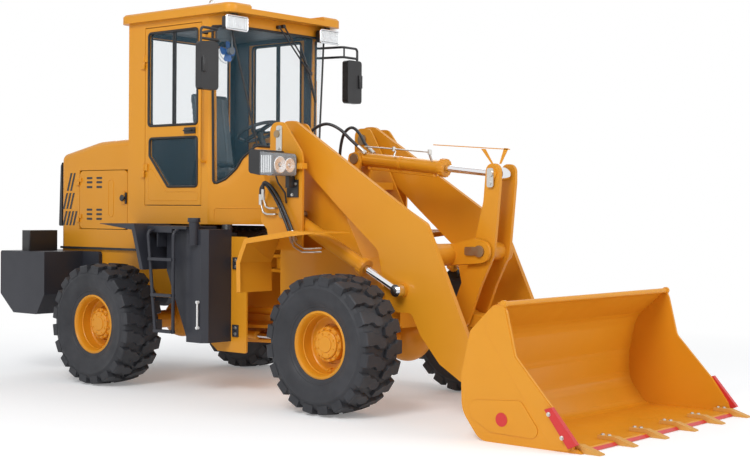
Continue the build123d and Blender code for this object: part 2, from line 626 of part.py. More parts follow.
with BuildPart() as headlights:
    for side in (-1, 1):
        side_plate([(512, 1822), (512, 1996), (763, 1963), (763, 1787)],
                   sorted((side * (ear_y + 38), side * 960)), radius=28)
        block((632, 752), sorted((side * (ear_y + 0.3), side * (ear_y + 12))), (1625, 1765))
        block((672, 712), sorted((side * (ear_y + 5), side * (ear_y + 70))), (1700, 1812))
write(headlights, "headlights")

# ------------------------------------------------------------------ wheels
for axle_name, centre_x in (("front", front_axle), ("rear", rear_axle)):
    for side_name, side in (("right", -1), ("left", 1)):
        middle = Plane(origin=at(centre_x, side * wheel_y, tyre_radius), x_dir=(1, 0, 0), z_dir=(0, -side, 0))
        half = tyre_width / 2
        with BuildPart() as tyre:
            with BuildSketch(Plane(origin=middle.origin, x_dir=(1, 0, 0), z_dir=(0, 0, 1))) as section:
                with BuildLine():
                    FilletPolyline(
                        (rim_radius + seat_gap, -half + 57), (tyre_radius - 130, -half), (tyre_radius - 12, -half + 25),
                        (tyre_radius, 0), (tyre_radius - 12, half - 25), (tyre_radius - 130, half),
                        (rim_radius + seat_gap, half - 57), radius=[0, 60, 25, 0, 25, 60, 0], close=True)
                make_face()
            revolve(section.sketch, axis=Axis(middle.origin, (0, 1, 0)), revolution_arc=360)
        write(tyre, f"tyre_{axle_name}_{side_name}")
        rim_half = half - 41
        with BuildPart() as rim:
            with BuildSketch(Plane(origin=middle.origin, x_dir=(1, 0, 0), z_dir=(0, 0, 1))) as section:
                with BuildLine():
                    Polyline(
                        (rim_radius - 14, -side * (rim_half - 8)), (rim_radius + 8, -side * (rim_half + 2)),
                        (rim_radius + 8, -side * (rim_half - 6)), (rim_radius, -side * (rim_half - 12)),
                        (rim_radius, side * (rim_half - 12)), (rim_radius + 8, side * (rim_half - 6)),
                        (rim_radius + 8, side * (rim_half + 2)), (rim_radius - 14, side * (rim_half - 8)),
                        (rim_radius - 14, side * 75), (145, side * 60), (145, side * 84), (130, side * 94),
                        (0, side * 94), (0, side * -10), (65 + running, side * -10), (65 + running, side * -148),
                        (125, side * -148), (145, side * -130), (145, side * 45), (rim_radius - 14, side * 55),
                        close=True)
                make_face()
            revolve(section.sketch, axis=Axis(middle.origin, (0, 1, 0)), revolution_arc=360)
        write(rim, f"rim_{axle_name}_{side_name}")

# ------------------------------------------------------------------ boom
arm_outline = [(400, 2245), (560, 2245), (1740, 1525), (1915, 1430), (2330, 560), (2460, 395),
               (bucket_pivot[0], bucket_pivot[1] + 85), (bucket_pivot[0] + 82, bucket_pivot[1] + 85),
               (bucket_pivot[0] + 82, bucket_pivot[1] - 78), (bucket_pivot[0] - 100, bucket_pivot[1] - 52),
               (2240, 285), (2050, 395), (1865, 600), (1780, 757), (1630, 757), (1535, 830),
               (1450, 1222), (1040, 1552), (620, 1905), (400, 2050)]
arm_radius = [95, 90, 300, 60, 250, 120, 0, 78, 68, 60, 60, 80, 100, 50, 70, 60, 90, 60, 90, 95]
cross_tube = (1840, 1190)
with BuildPart() as boom:
    side_plate(arm_outline, (arm_inner_y, arm_y), radius=arm_radius)
    cross_cylinder(cross_tube, (-1, arm_inner_y), 85)
    cross_cylinder(lift_end, (arm_y, lift_y - 35), 50)
    # ears that carry the rocker
    side_plate([(1790, 1250), (2100, 1320), (2235, 1290), (2240, 1150), (2120, 1130), (1820, 1110)], (128, 158),
               radius=[20, 60, 80, 80, 60, 20])
    mirror(about=Plane.XZ)
    cross_cylinder(boom_pivot, (-arm_y - 1, arm_y + 1), pin_radius + running, mode=Mode.SUBTRACT)
    cross_cylinder(bucket_pivot, (-arm_y - 1, arm_y + 1), pin_radius + running, mode=Mode.SUBTRACT)
    cross_cylinder(rocker_pivot, (-160, 160), pin_radius + running, mode=Mode.SUBTRACT)
write(boom, "boom")

with BuildPart() as rocker_pin:
    cross_cylinder(rocker_pivot, (-160, 160), pin_radius)
    for side in (-1, 1):
        pin_flag(rocker_pivot, side, 160)
write(rocker_pin, "rocker_pin")

with BuildPart() as rocker:
    side_plate([(2175, 1885), (2300, 1885), (2300, 1740), (2250, 1200), (2130, 960), (2000, 640), (1870, 640), (1860, 770),
                (1960, 1000), (2050, 1200), (2150, 1600)], (86, 116),
               radius=[60, 60, 60, 300, 100, 62, 62, 40, 200, 200, 100])
    mirror(about=Plane.XZ)
    cross_cylinder(rocker_pivot, (-116, 116), 70)
    cross_cylinder(rocker_pivot, (-120, 120), pin_radius + running, mode=Mode.SUBTRACT)
    for side in (-1, 1):
        for point in (rocker_top, rocker_foot):
            cross_cylinder(point, sorted((side * 116, side * 130)), 42)
write(rocker, "rocker")

link_length = hypot(bucket_link[0] - rocker_foot[0], bucket_link[1] - rocker_foot[1])
with BuildPart() as link:
    rise = (bucket_link[1] - rocker_foot[1]) / link_length
    run = (bucket_link[0] - rocker_foot[0]) / link_length
    corners = [(rocker_foot[0] - rise * s - run * 5, rocker_foot[1] + run * s - rise * 5) for s in (50, -50)]
    corners += [(bucket_link[0] - rise * s, bucket_link[1] + run * s) for s in (-50, 50)]
    side_plate(corners, (-72, 72))
    cross_cylinder(rocker_foot, (-78, 78), 62)
    cross_cylinder(bucket_link, (-78, 78), 62)
    cross_cylinder(bucket_link, (-80, 80), pin_radius + running, mode=Mode.SUBTRACT)
write(link, "link")

with BuildPart() as link_pin:
    cross_cylinder(bucket_link, (-113, 113), pin_radius)
    for side in (-1, 1):
        pin_flag(bucket_link, side, 113)
write(link_pin, "link_pin")

with BuildPart() as bucket_pins:
    for side in (-1, 1):
        cross_cylinder(bucket_pivot, sorted((side * 428, side * 555)), pin_radius)
        pin_flag(bucket_pivot, side, 555)
write(bucket_pins, "bucket_pins")

# ------------------------------------------------------------------ bucket
shell_outer = [(3560, 12), (2860, 12), (2712, 200), (2706, 420), (2769, 700), (3005, 905)]
shell_radius = [120, 200, 200, 200]
with BuildPart() as bucket:
    with BuildLine() as shell_line:
        FilletPolyline(*[(articulation_x + x, 0, z) for x, z in shell_outer], radius=shell_radius)
    with BuildSketch(Plane(origin=shell_line.line @ 0, z_dir=shell_line.line % 0, x_dir=(0, 1, 0))) as shell_face:
        Rectangle(2 * (bucket_y - bucket_plate), bucket_plate)
    sweep(shell_face.sketch, path=shell_line.line)
    side_outline = [(3590, 0), (2850, 0), (2700, 190), (2694, 430), (2769, 731), (2960, 912), (3050, 912), (3133, 578),
                    (3432, 262), (3560, 90)]
    side_plate(side_outline, (bucket_y - bucket_plate, bucket_y), radius=[0, 130, 200, 200, 60, 60, 70, 80, 0, 0])
    # cutting edge and top lip
    side_plate([(3400, 2), (3640, 2), (3600, 26), (3400, 26)], (0, bucket_y))
    side_plate([(2985, 880), (3040, 905), (3040, 925), (2975, 925)], (0, bucket_y - bucket_plate))
    # ears for the arms and the link
    for y_range in ((440, 465), (525, 550)):
        side_plate([(2710, 420), (bucket_pivot[0] - 70, bucket_pivot[1] + 75), (bucket_pivot[0] - 70, bucket_pivot[1] - 75),
                    (2775, 118), (2750, 152), (2722, 200), (2712, 262)], y_range, radius=[0, 65, 65, 0, 0, 0, 0])
    side_plate([(2760, 690), (bucket_link[0] - 60, bucket_link[1] + 65), (bucket_link[0] - 60, bucket_link[1] - 65),
                (2716, 470)], (86, 111), radius=[0, 60, 60, 0])
    mirror(about=Plane.XZ)
    cross_cylinder(bucket_pivot, (-560, 560), pin_radius + running, mode=Mode.SUBTRACT)
    cross_cylinder(bucket_link, (-120, 120), pin_radius + running, mode=Mode.SUBTRACT)
write(bucket, "bucket")

with BuildPart() as teeth:
    spacing = 2 * (bucket_y - 60) / (tooth_count - 1)
    for number in range(tooth_count):
        y = -(bucket_y - 60) + number * spacing
        side_plate([(3480, 26), (3600, 26), (3640, 2), (3650, 0), (3757, 0), (3757, 8), (3610, 52), (3480, 52)],
                   (y - 30, y + 30))
write(teeth, "bucket_teeth")

with BuildPart() as side_cutters:
    for side in (-1, 1):
        y_range = sorted((side * bucket_y, side * (bucket_y + 36)))
        side_plate([(3380, 262), (3432, 280), (3625, 60), (3560, 30)], y_range)
write(side_cutters, "side_cutters")


# ------------------------------------------------------------------ cylinders
def barrel_and_rod(name, base, end, radius, rod_radius, barrel_share, rod_start, eye, y, half_width, closed_eye):
    """A cylinder in an upright plane: barrel with base eye and gland, then rod with its eye."""
    length = hypot(end[0] - base[0], end[1] - base[1])
    run, rise = (end[0] - base[0]) / length, (end[1] - base[1]) / length
    gland = barrel_share * length

    def along(distance):
        return (base[0] + run * distance, y, base[1] + rise * distance)

    y_range = (y - half_width, y + half_width)
    with BuildPart() as barrel:
        rod_between(along(eye - 5), along(gland - 50), radius)
        rod_between(along(gland - 50), along(gland), radius * 1.2)
        cross_cylinder(base, y_range, eye)
        cross_cylinder(base, (y_range[0] - 1, y_range[1] + 1), pin_radius + running, mode=Mode.SUBTRACT)
        rod_between(along(eye + 25), along(gland + 1), rod_radius + seat_gap, mode=Mode.SUBTRACT)
    write(barrel, f"{name}_barrel")
    with BuildPart() as rod:
        rod_between(along(rod_start), along(length - 5), rod_radius)
        cross_cylinder(end, y_range, eye * 0.9)
        if closed_eye:
            cross_cylinder(end, closed_eye, pin_radius)
    write(rod, f"{name}_rod")


barrel_and_rod("tilt", tilt_base, rocker_top, tilt_cylinder_radius, tilt_rod_radius, 0.628, 262, 58, 0, 50, None)
for side_name, side in (("right", -1), ("left", 1)):
    pin_range = sorted((side * (lift_y - 28), side * (lift_y + 50)))
    barrel_and_rod(f"lift_{side_name}", lift_base, lift_end, lift_cylinder_radius, lift_rod_radius, 0.72, 112, 52,
                   side * lift_y, 28, pin_range)

steer_length = hypot(steer_front[0] - steer_rear[0], steer_front[1] - steer_rear[1])
for side_name, side in (("right", -1), ("left", 1)):
    start = Vector(steer_rear[0], side * steer_rear[1], steer_z)
    heading = (Vector(steer_front[0], side * steer_front[1], steer_z) - start).normalized()

    def on_line(distance):
        point = start + heading * distance
        return (point.X, point.Y, point.Z)

    with BuildPart() as steer_barrel:
        rod_between(on_line(30), on_line(420), steer_cylinder_radius)
        upright_cylinder((steer_rear[0], side * steer_rear[1]), (steer_z - 36, steer_z + 36), 38)
        upright_cylinder((steer_rear[0], side * steer_rear[1]), (steer_z - 38, steer_z + 38), pin_radius - 8 + running,
                         mode=Mode.SUBTRACT)
        rod_between(on_line(46), on_line(421), steer_rod_radius + seat_gap, mode=Mode.SUBTRACT)
    write(steer_barrel, f"steer_{side_name}_barrel")
    with BuildPart() as steer_rod:
        rod_between(on_line(229), on_line(steer_length - 5), steer_rod_radius)
        upright_cylinder((steer_front[0], side * steer_front[1]), (steer_z - 36, steer_z + 36), 34)
    write(steer_rod, f"steer_{side_name}_rod")
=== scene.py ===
# %% [markdown]
# A compact articulated wheel loader, finished around its packed construction model.
# The construction model brings every plate, pin and cylinder at its real size. This lesson adds what the
# eye needs: paint, rubber and glass, the tread of the tyres, bolts, hoses, wipers, lamps and trim.
# +X is forward, +Y is the machine's left, +Z is up, and every length is in metres.

# %% Load the frame
from math import cos, degrees, exp, pi, radians, sin, tan

import bmesh
import bpy
from mathutils import Matrix, Vector


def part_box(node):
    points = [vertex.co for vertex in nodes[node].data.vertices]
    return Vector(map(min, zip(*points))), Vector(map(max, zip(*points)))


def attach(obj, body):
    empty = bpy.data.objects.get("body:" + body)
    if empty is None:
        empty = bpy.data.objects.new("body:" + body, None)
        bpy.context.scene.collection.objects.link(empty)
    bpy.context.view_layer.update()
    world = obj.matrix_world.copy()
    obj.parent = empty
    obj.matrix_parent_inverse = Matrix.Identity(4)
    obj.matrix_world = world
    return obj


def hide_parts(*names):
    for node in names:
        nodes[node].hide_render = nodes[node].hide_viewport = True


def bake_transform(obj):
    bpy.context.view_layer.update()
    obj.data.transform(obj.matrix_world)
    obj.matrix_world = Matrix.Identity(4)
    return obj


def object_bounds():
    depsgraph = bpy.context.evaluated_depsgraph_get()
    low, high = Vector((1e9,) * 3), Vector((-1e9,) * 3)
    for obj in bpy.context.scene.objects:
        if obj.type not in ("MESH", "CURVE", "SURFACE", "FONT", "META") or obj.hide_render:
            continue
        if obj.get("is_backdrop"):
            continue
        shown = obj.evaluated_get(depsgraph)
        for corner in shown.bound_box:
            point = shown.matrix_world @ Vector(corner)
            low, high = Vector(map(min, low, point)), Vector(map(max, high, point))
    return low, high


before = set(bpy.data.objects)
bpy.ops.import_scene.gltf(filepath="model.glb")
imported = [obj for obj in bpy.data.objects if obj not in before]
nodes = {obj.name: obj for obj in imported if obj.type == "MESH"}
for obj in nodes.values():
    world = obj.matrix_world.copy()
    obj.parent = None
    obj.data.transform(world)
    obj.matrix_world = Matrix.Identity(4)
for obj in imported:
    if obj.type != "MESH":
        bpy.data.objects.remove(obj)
cad_low, cad_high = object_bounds()
print("construction box", [round(v, 3) for v in cad_low], [round(v, 3) for v in cad_high])

# %% [markdown]
# The camera stands low at the front right, about eleven metres away, with a long lens. It is made first, so
# that every piece can be looked at from the place it will be seen from. A camera matrix has three
# columns: what is right, what is up and what is behind the lens.

# %% Camera
camera_place = Vector((7.6575, -8.478, 1.532))
camera_azimuth = radians(39.92)
camera_elevation = radians(0.37)
camera_roll = radians(0.37)


def camera_matrix(place, azimuth, elevation, roll):
    """A matrix that looks along +Y at azimuth 0, turned about +Z, raised and rolled."""
    behind = Vector((sin(azimuth) * cos(elevation), -cos(azimuth) * cos(elevation), sin(elevation)))
    level = Vector((cos(azimuth), sin(azimuth), 0))
    upright = behind.cross(level)
    right = cos(roll) * level + sin(roll) * upright
    up = cos(roll) * upright - sin(roll) * level
    return Matrix.Translation(place) @ Matrix((right, up, behind)).transposed().to_4x4()


lens = bpy.data.cameras.new("camera")
lens.sensor_width = 36
lens.lens = 65.35
lens.shift_x = -0.0101
lens.shift_y = -0.0160
lens.clip_end = 100
camera = bpy.data.objects.new("camera", lens)
bpy.context.scene.collection.objects.link(camera)
camera.matrix_world = camera_matrix(camera_place, camera_azimuth, camera_elevation, camera_roll)
bpy.context.scene.camera = camera

# %% [markdown]
# A studio: a white world that lights everything softly, one large lamp over the camera's left shoulder, a
# weaker one from the right and one from behind. The floor is a plain white sheet. It shows white to the
# camera through a Light Path switch, and its shader still catches the machine's shadow.

# %% Stage and light
scene = bpy.context.scene
scene.view_settings.view_transform = "Standard"


def lamp(name, place, aim, size, power):
    """A square area lamp that points at a place."""
    data = bpy.data.lights.new(name, "AREA")
    data.shape = "SQUARE"
    data.size = size
    data.energy = power
    holder = bpy.data.objects.new(name, data)
    scene.collection.objects.link(holder)
    direction = Vector(aim) - Vector(place)
    holder.matrix_world = Matrix.Translation(place) @ direction.to_track_quat("-Z", "Y").to_matrix().to_4x4()


def show_white(tree, shade, surface_socket, where=None):
    """Lead a shader to an output, and put plain white in its place where camera, mirror or glass looks.

    A factor can limit the white to a part of the surface.
    """
    paths = tree.nodes.new("ShaderNodeLightPath")
    white = tree.nodes.new("ShaderNodeEmission")
    choose = tree.nodes.new("ShaderNodeMixShader")
    seen = tree.nodes.new("ShaderNodeMath")
    seen.operation = "MAXIMUM"
    seen_too = tree.nodes.new("ShaderNodeMath")
    seen_too.operation = "MAXIMUM"
    tree.links.new(paths.outputs["Is Camera Ray"], seen.inputs[0])
    tree.links.new(paths.outputs["Is Transmission Ray"], seen.inputs[1])
    tree.links.new(seen.outputs[0], seen_too.inputs[0])
    tree.links.new(paths.outputs["Is Glossy Ray"], seen_too.inputs[1])
    amount = seen_too.outputs[0]
    if where is not None:
        limited = tree.nodes.new("ShaderNodeMath")
        limited.operation = "MULTIPLY"
        tree.links.new(amount, limited.inputs[0])
        tree.links.new(where, limited.inputs[1])
        amount = limited.outputs[0]
    tree.links.new(amount, choose.inputs[0])
    tree.links.new(shade, choose.inputs[1])
    tree.links.new(white.outputs[0], choose.inputs[2])
    tree.links.new(choose.outputs[0], surface_socket)


world = bpy.data.worlds.new("studio")
scene.world = world
world.use_nodes = True
backdrop = world.node_tree.nodes["Background"]
backdrop.inputs["Color"].default_value = (0.93, 0.96, 1.0, 1)
backdrop.inputs["Strength"].default_value = 0.46
show_white(world.node_tree, backdrop.outputs[0], world.node_tree.nodes["World Output"].inputs["Surface"])

middle = (cad_low + cad_high) / 2
lamp("key lamp", (4.0, -10.0, 9.0), middle, 5.0, 840)
lamp("front lamp", (11.0, 2.0, 6.0), middle, 5.0, 350)
lamp("back lamp", (-8.0, 7.0, 8.0), middle, 6.0, 350)

ground = bmesh.new()
bmesh.ops.create_grid(ground, x_segments=1, y_segments=1, size=60)
ground_mesh = bpy.data.meshes.new("ground")
ground.to_mesh(ground_mesh)
ground.free()
floor = bpy.data.objects.new("floor", ground_mesh)
floor.location.z = -0.001
scene.collection.objects.link(floor)
floor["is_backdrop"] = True
print("stage ready, middle of the machine", [round(v, 2) for v in middle])

# %% [markdown]
# Every finish is a small node tree on Object coordinates. These helpers keep each tree short: one makes
# the material with its shader, one adds noise, one spreads a value between two limits, and one adds bump.

# %% Material helpers


def new_finish(name, color, roughness, metallic=0.0, coat=0.0):
    """A Principled material in its plain state."""
    finish = bpy.data.materials.new(name)
    finish.use_nodes = True
    shader = finish.node_tree.nodes["Principled BSDF"]
    shader.inputs["Base Color"].default_value = (*color, 1)
    shader.inputs["Roughness"].default_value = roughness
    shader.inputs["Metallic"].default_value = metallic
    shader.inputs["Coat Weight"].default_value = coat
    shader.inputs["Coat Roughness"].default_value = 0.12
    finish.diffuse_color = (*color, 1)
    return finish, finish.node_tree, shader


def noise(tree, scale, detail=3.0, stretch=(1, 1, 1), seed=0.0):
    """A noise pattern on Object coordinates; returns its factor."""
    place = tree.nodes.new("ShaderNodeTexCoord")
    mapping = tree.nodes.new("ShaderNodeMapping")
    mapping.inputs["Scale"].default_value = stretch
    mapping.inputs["Location"].default_value = (seed, seed, seed)
    pattern = tree.nodes.new("ShaderNodeTexNoise")
    pattern.inputs["Scale"].default_value = scale
    pattern.inputs["Detail"].default_value = detail
    tree.links.new(place.outputs["Object"], mapping.inputs["Vector"])
    tree.links.new(mapping.outputs["Vector"], pattern.inputs["Vector"])
    return pattern.outputs["Fac"]


def spread(tree, factor, low, high, start=0.3, end=0.7):
    """Spread a factor between two values."""
    ramp = tree.nodes.new("ShaderNodeMapRange")
    ramp.inputs["From Min"].default_value = start
    ramp.inputs["From Max"].default_value = end
    ramp.inputs["To Min"].default_value = low
    ramp.inputs["To Max"].default_value = high
    tree.links.new(factor, ramp.inputs["Value"])
    return ramp.outputs["Result"]


def blend_colors(tree, factor, first, second):
    """Mix two colours, each a tuple or a socket, by a factor."""
    mix = tree.nodes.new("ShaderNodeMix")
    mix.data_type = "RGBA"
    tree.links.new(factor, mix.inputs["Factor"])
    for socket, value in ((mix.inputs["A"], first), (mix.inputs["B"], second)):
        if isinstance(value, tuple):
            socket.default_value = (*value, 1)
        else:
            tree.links.new(value, socket)
    return mix.outputs["Result"]


def bump(tree, shader, height, distance, strength=1.0):
    """Raise the surface by a height pattern, a distance in metres."""
    raised = tree.nodes.new("ShaderNodeBump")
    raised.inputs["Strength"].default_value = strength
    raised.inputs["Distance"].default_value = distance
    tree.links.new(height, raised.inputs["Height"])
    tree.links.new(raised.outputs["Normal"], shader.inputs["Normal"])


# %% [markdown]
# The floor is a matt white sheet near the machine, so that it takes the shadow of the wheels and the
# bucket. With growing distance from the machine it turns into plain white, and no horizon shows.

# %% Floor finish
floor_finish, floor_tree, floor_shader = new_finish("pale floor", (0.9, 0.9, 0.9), 0.9)
floor_shader.inputs["Specular IOR Level"].default_value = 0.1
floor_shader.inputs["Emission Color"].default_value = (1, 1, 1, 1)
floor_shader.inputs["Emission Strength"].default_value = 0.2
floor_place = floor_tree.nodes.new("ShaderNodeTexCoord")
floor_distance = floor_tree.nodes.new("ShaderNodeVectorMath")
floor_distance.operation = "LENGTH"
floor_tree.links.new(floor_place.outputs["Object"], floor_distance.inputs[0])
far_from_machine = spread(floor_tree, floor_distance.outputs["Value"], 0.0, 1.0, start=3.6, end=7.5)
floor_surface = floor_tree.nodes["Material Output"].inputs["Surface"]
show_white(floor_tree, floor_shader.outputs[0], floor_surface, far_from_machine)
floor.data.materials.append(floor_finish)

# %% [markdown]
# The machine's paint is a warm yellow two-pack enamel. It is never quite even: a slow noise shifts the
# tone a little, a fine one gives the faint orange peel of a sprayed coat, and a clear coat adds the gloss.
# The black parts have the same recipe with less gloss.

# %% Paint
yellow_tone = (0.69, 0.275, 0.010)
yellow_light = (0.74, 0.31, 0.016)
black_tone = (0.022, 0.023, 0.030)
black_light = (0.034, 0.036, 0.046)


def sprayed(name, tone, light, roughness, coat):
    """A sprayed enamel coat with slow tone changes and orange peel."""
    finish, tree, shader = new_finish(name, tone, roughness, coat=coat)
    tree.links.new(blend_colors(tree, noise(tree, 1.3, 4), tone, light), shader.inputs["Base Color"])
    shader.inputs["Specular IOR Level"].default_value = 0.35
    gloss = spread(tree, noise(tree, 5.0, 4, seed=7), roughness - 0.05, roughness + 0.07)
    tree.links.new(gloss, shader.inputs["Roughness"])
    bump(tree, shader, noise(tree, 260.0, 1, seed=3), 0.0002, 0.25)
    return finish


yellow_paint = sprayed("yellow paint", yellow_tone, yellow_light, 0.42, 0.12)
worn_paint = sprayed("worn yellow paint", (0.70, 0.32, 0.045), (0.64, 0.36, 0.10), 0.5, 0.0)
black_paint = sprayed("black paint", black_tone, black_light, 0.45, 0.08)
red_paint = sprayed("red paint", (0.58, 0.020, 0.022), (0.64, 0.035, 0.035), 0.4, 0.25)
frame_grey = sprayed("dark grey enamel", (0.06, 0.062, 0.066), (0.085, 0.087, 0.09), 0.5, 0.1)
white_paint = sprayed("white paint", (0.75, 0.76, 0.76), (0.8, 0.8, 0.8), 0.4, 0.2)

# %% [markdown]
# Bare metals. Rods are ground and hard-chromed, so they are almost mirrors. Bolts are zinc plated: soft
# grey and slightly blotched. Pins are brown with old grease.

# %% Metals


def bright_metal(name, tone, roughness, blotch):
    """A bare or plated metal with blotches in its gloss."""
    finish, tree, shader = new_finish(name, tone, roughness, metallic=1.0)
    gloss = spread(tree, noise(tree, blotch, 4), roughness - 0.06, roughness + 0.1)
    tree.links.new(gloss, shader.inputs["Roughness"])
    bump(tree, shader, noise(tree, 400.0, 2), 0.0001, 0.2)
    return finish


chrome = bright_metal("hard chrome", (0.80, 0.81, 0.83), 0.12, 9.0)
pin_steel = bright_metal("greased pin", (0.36, 0.27, 0.17), 0.45, 20.0)
zinc = bright_metal("zinc plate", (0.62, 0.61, 0.58), 0.36, 30.0)

# %% [markdown]
# Rubber and moulded plastic are near-black and matt. Tyre rubber gets a dusty grey in its tone, plastic a
# fine moulded grain, hose covers a slight sheen.

# %% Rubber and plastic


def dark_polymer(name, tone, light, roughness, grain, depth):
    """A matt rubber or plastic with dusty tone changes and a fine grain."""
    finish, tree, shader = new_finish(name, tone, roughness)
    dust = spread(tree, noise(tree, 4.0, 5), 0, 1)
    tree.links.new(blend_colors(tree, dust, tone, light), shader.inputs["Base Color"])
    gloss = spread(tree, noise(tree, 11.0, 4, seed=5), roughness - 0.08, roughness + 0.08)
    tree.links.new(gloss, shader.inputs["Roughness"])
    bump(tree, shader, noise(tree, grain, 2), depth, 0.4)
    return finish


tyre_rubber = dark_polymer("tyre rubber", (0.017, 0.018, 0.022), (0.030, 0.031, 0.037), 0.62, 90.0, 0.0008)
black_plastic = dark_polymer(
    "black plastic", (0.012, 0.012, 0.013), (0.020, 0.020, 0.022), 0.42, 700.0, 0.0003)
seal_rubber = dark_polymer("seal rubber", (0.010, 0.010, 0.011), (0.016, 0.016, 0.017), 0.55, 300.0, 0.0002)
hose_rubber = dark_polymer("hose rubber", (0.012, 0.012, 0.014), (0.022, 0.022, 0.025), 0.38, 500.0, 0.0002)
grey_plastic = dark_polymer("grey plastic", (0.16, 0.165, 0.175), (0.2, 0.205, 0.21), 0.5, 600.0, 0.0003)
trim_grey = dark_polymer("trim grey", (0.035, 0.045, 0.058), (0.045, 0.056, 0.07), 0.55, 500.0, 0.0002)
amber_plastic = dark_polymer("amber plastic", (0.75, 0.22, 0.01), (0.8, 0.26, 0.015), 0.3, 300.0, 0.0001)
blue_plastic = dark_polymer("blue plastic", (0.02, 0.10, 0.36), (0.03, 0.13, 0.42), 0.4, 600.0, 0.0002)

# %% [markdown]
# Window glass lets the white studio through with a faint blue tint and mirrors it. A thin pane in a
# real-time model is drawn with alpha, so the shader keeps a low alpha and a smooth, glossy surface.

# %% Glass and lenses


def clear_sheet(name, tint, alpha, roughness=0.03):
    """Thin glass: mostly clear, with gloss on top."""
    finish, tree, shader = new_finish(name, tint, roughness)
    shader.inputs["Alpha"].default_value = alpha
    shader.inputs["IOR"].default_value = 1.5
    shader.inputs["Specular IOR Level"].default_value = 0.8
    wave = spread(tree, noise(tree, 1.6, 2), roughness, roughness + 0.03)
    tree.links.new(wave, shader.inputs["Roughness"])
    return finish


window_glass = clear_sheet("window glass", (0.10, 0.30, 0.42), 0.055)
lamp_glass = clear_sheet("lamp glass", (0.85, 0.88, 0.9), 0.25)
mirror_glass = bright_metal("mirror glass", (0.85, 0.87, 0.9), 0.08, 3.0)
lamp_silver = bright_metal("lamp silver", (0.86, 0.87, 0.88), 0.18, 8.0)

# %% [markdown]
# The modelling helpers. Each adds one shape to an open bmesh: a block, a rod, a bolt, a plate cut from a
# flat outline, a bent tube. A finished bmesh becomes one piece, which gets its material, a small bevel and
# the body that it rides on. Every shape is made where it belongs, so no object is ever moved.

# %% Shapes


def add_block(bm, low, high, chamfer=0.0):
    """A box between two corners, with its edges bevelled if asked."""
    low, high = Vector(low), Vector(high)
    size = Matrix.Diagonal((*(high - low), 1))
    made = bmesh.ops.create_cube(bm, size=1, matrix=Matrix.Translation((low + high) / 2) @ size)
    if chamfer:
        edges = {e for v in made["verts"] for e in v.link_edges}
        bmesh.ops.bevel(
            bm, geom=list(edges), offset=chamfer, segments=2, profile=0.5, affect="EDGES", material=-1)


def add_rod(bm, start, end, radius, end_radius=None, segments=24):
    """A round rod or cone between two points."""
    start, end = Vector(start), Vector(end)
    turn = (end - start).to_track_quat("Z", "Y").to_matrix().to_4x4()
    bmesh.ops.create_cone(
        bm, cap_ends=True, segments=segments, radius1=radius,
        radius2=radius if end_radius is None else end_radius,
        depth=(end - start).length, matrix=Matrix.Translation((start + end) / 2) @ turn)


def add_bolt(bm, place, direction, size):
    """A hexagon bolt head on its washer, seen along a direction; size is the thread's diameter."""
    place, direction = Vector(place), Vector(direction).normalized()
    washer_top = place + direction * size * 0.16
    add_rod(bm, place, washer_top, size * 1.15, segments=20)
    add_rod(bm, washer_top, place + direction * size * 0.75, size * 0.95, size * 0.88, segments=6)


def add_plate(bm, outline, across, low, high):
    """A plate with a flat outline; across is the axis of its thickness, 0 for X, 1 for Y, 2 for Z."""
    others = [axis for axis in (0, 1, 2) if axis != across]
    corners = []
    for first, second in outline:
        corner = [0, 0, 0]
        corner[others[0]], corner[others[1]], corner[across] = first, second, low
        corners.append(bm.verts.new(corner))
    face = bm.faces.new(corners)
    grown = bmesh.ops.extrude_face_region(bm, geom=[face])
    shift = Vector([high - low if axis == across else 0 for axis in (0, 1, 2)])
    bmesh.ops.translate(bm, vec=shift, verts=[g for g in grown["geom"] if isinstance(g, bmesh.types.BMVert)])


def add_side_plate(bm, outline, side, near, far):
    """A plate on one side of the machine, between two distances from its middle plane."""
    add_plate(bm, outline, 1, *sorted((side * near, side * far)))


def add_side_block(bm, side, x_run, y_run, z_run, chamfer=0.0):
    """A box on one side of the machine, from its runs along X, outwards and up."""
    low_y, high_y = sorted((side * y_run[0], side * y_run[1]))
    add_block(bm, (x_run[0], low_y, z_run[0]), (x_run[1], high_y, z_run[1]), chamfer=chamfer)


def rounded(outline, radius, steps=5):
    """A closed outline with each corner turned into an arc; radius is one value or one for each corner."""
    points = []
    count = len(outline)
    radii = radius if isinstance(radius, (list, tuple)) else [radius] * count
    for number, corner in enumerate(outline):
        corner = Vector(corner)
        before = Vector(outline[number - 1]) - corner
        after = Vector(outline[(number + 1) % count]) - corner
        if radii[number] <= 0:
            points.append(tuple(corner))
            continue
        half_turn = before.angle(after) / 2
        reach = min(radii[number] / tan(half_turn), before.length * 0.48, after.length * 0.48)
        arc_radius = reach * tan(half_turn)
        inwards = (before.normalized() + after.normalized()).normalized()
        centre = corner + inwards * (arc_radius / sin(half_turn))
        first = corner + before.normalized() * reach - centre
        last = corner + after.normalized() * reach - centre
        sweep = first.angle_signed(last)
        for step in range(steps + 1):
            turned = first.copy()
            turned.rotate(Matrix.Rotation(-sweep * step / steps, 2))
            points.append(tuple(centre + turned))
    return points


def add_spun(bm, profile, centre, axis, segments=64):
    """A closed profile of (radius, along) points spun round an axis through a centre."""
    axis = Vector(axis).normalized()
    side = axis.orthogonal().normalized()
    verts = [bm.verts.new(Vector(centre) + side * radius + axis * along) for radius, along in profile]
    edges = [bm.edges.new((verts[k], verts[(k + 1) % len(verts)])) for k in range(len(verts))]
    bmesh.ops.spin(
        bm, geom=verts + edges, cent=centre, axis=axis, angle=2 * pi, steps=segments, use_merge=True)


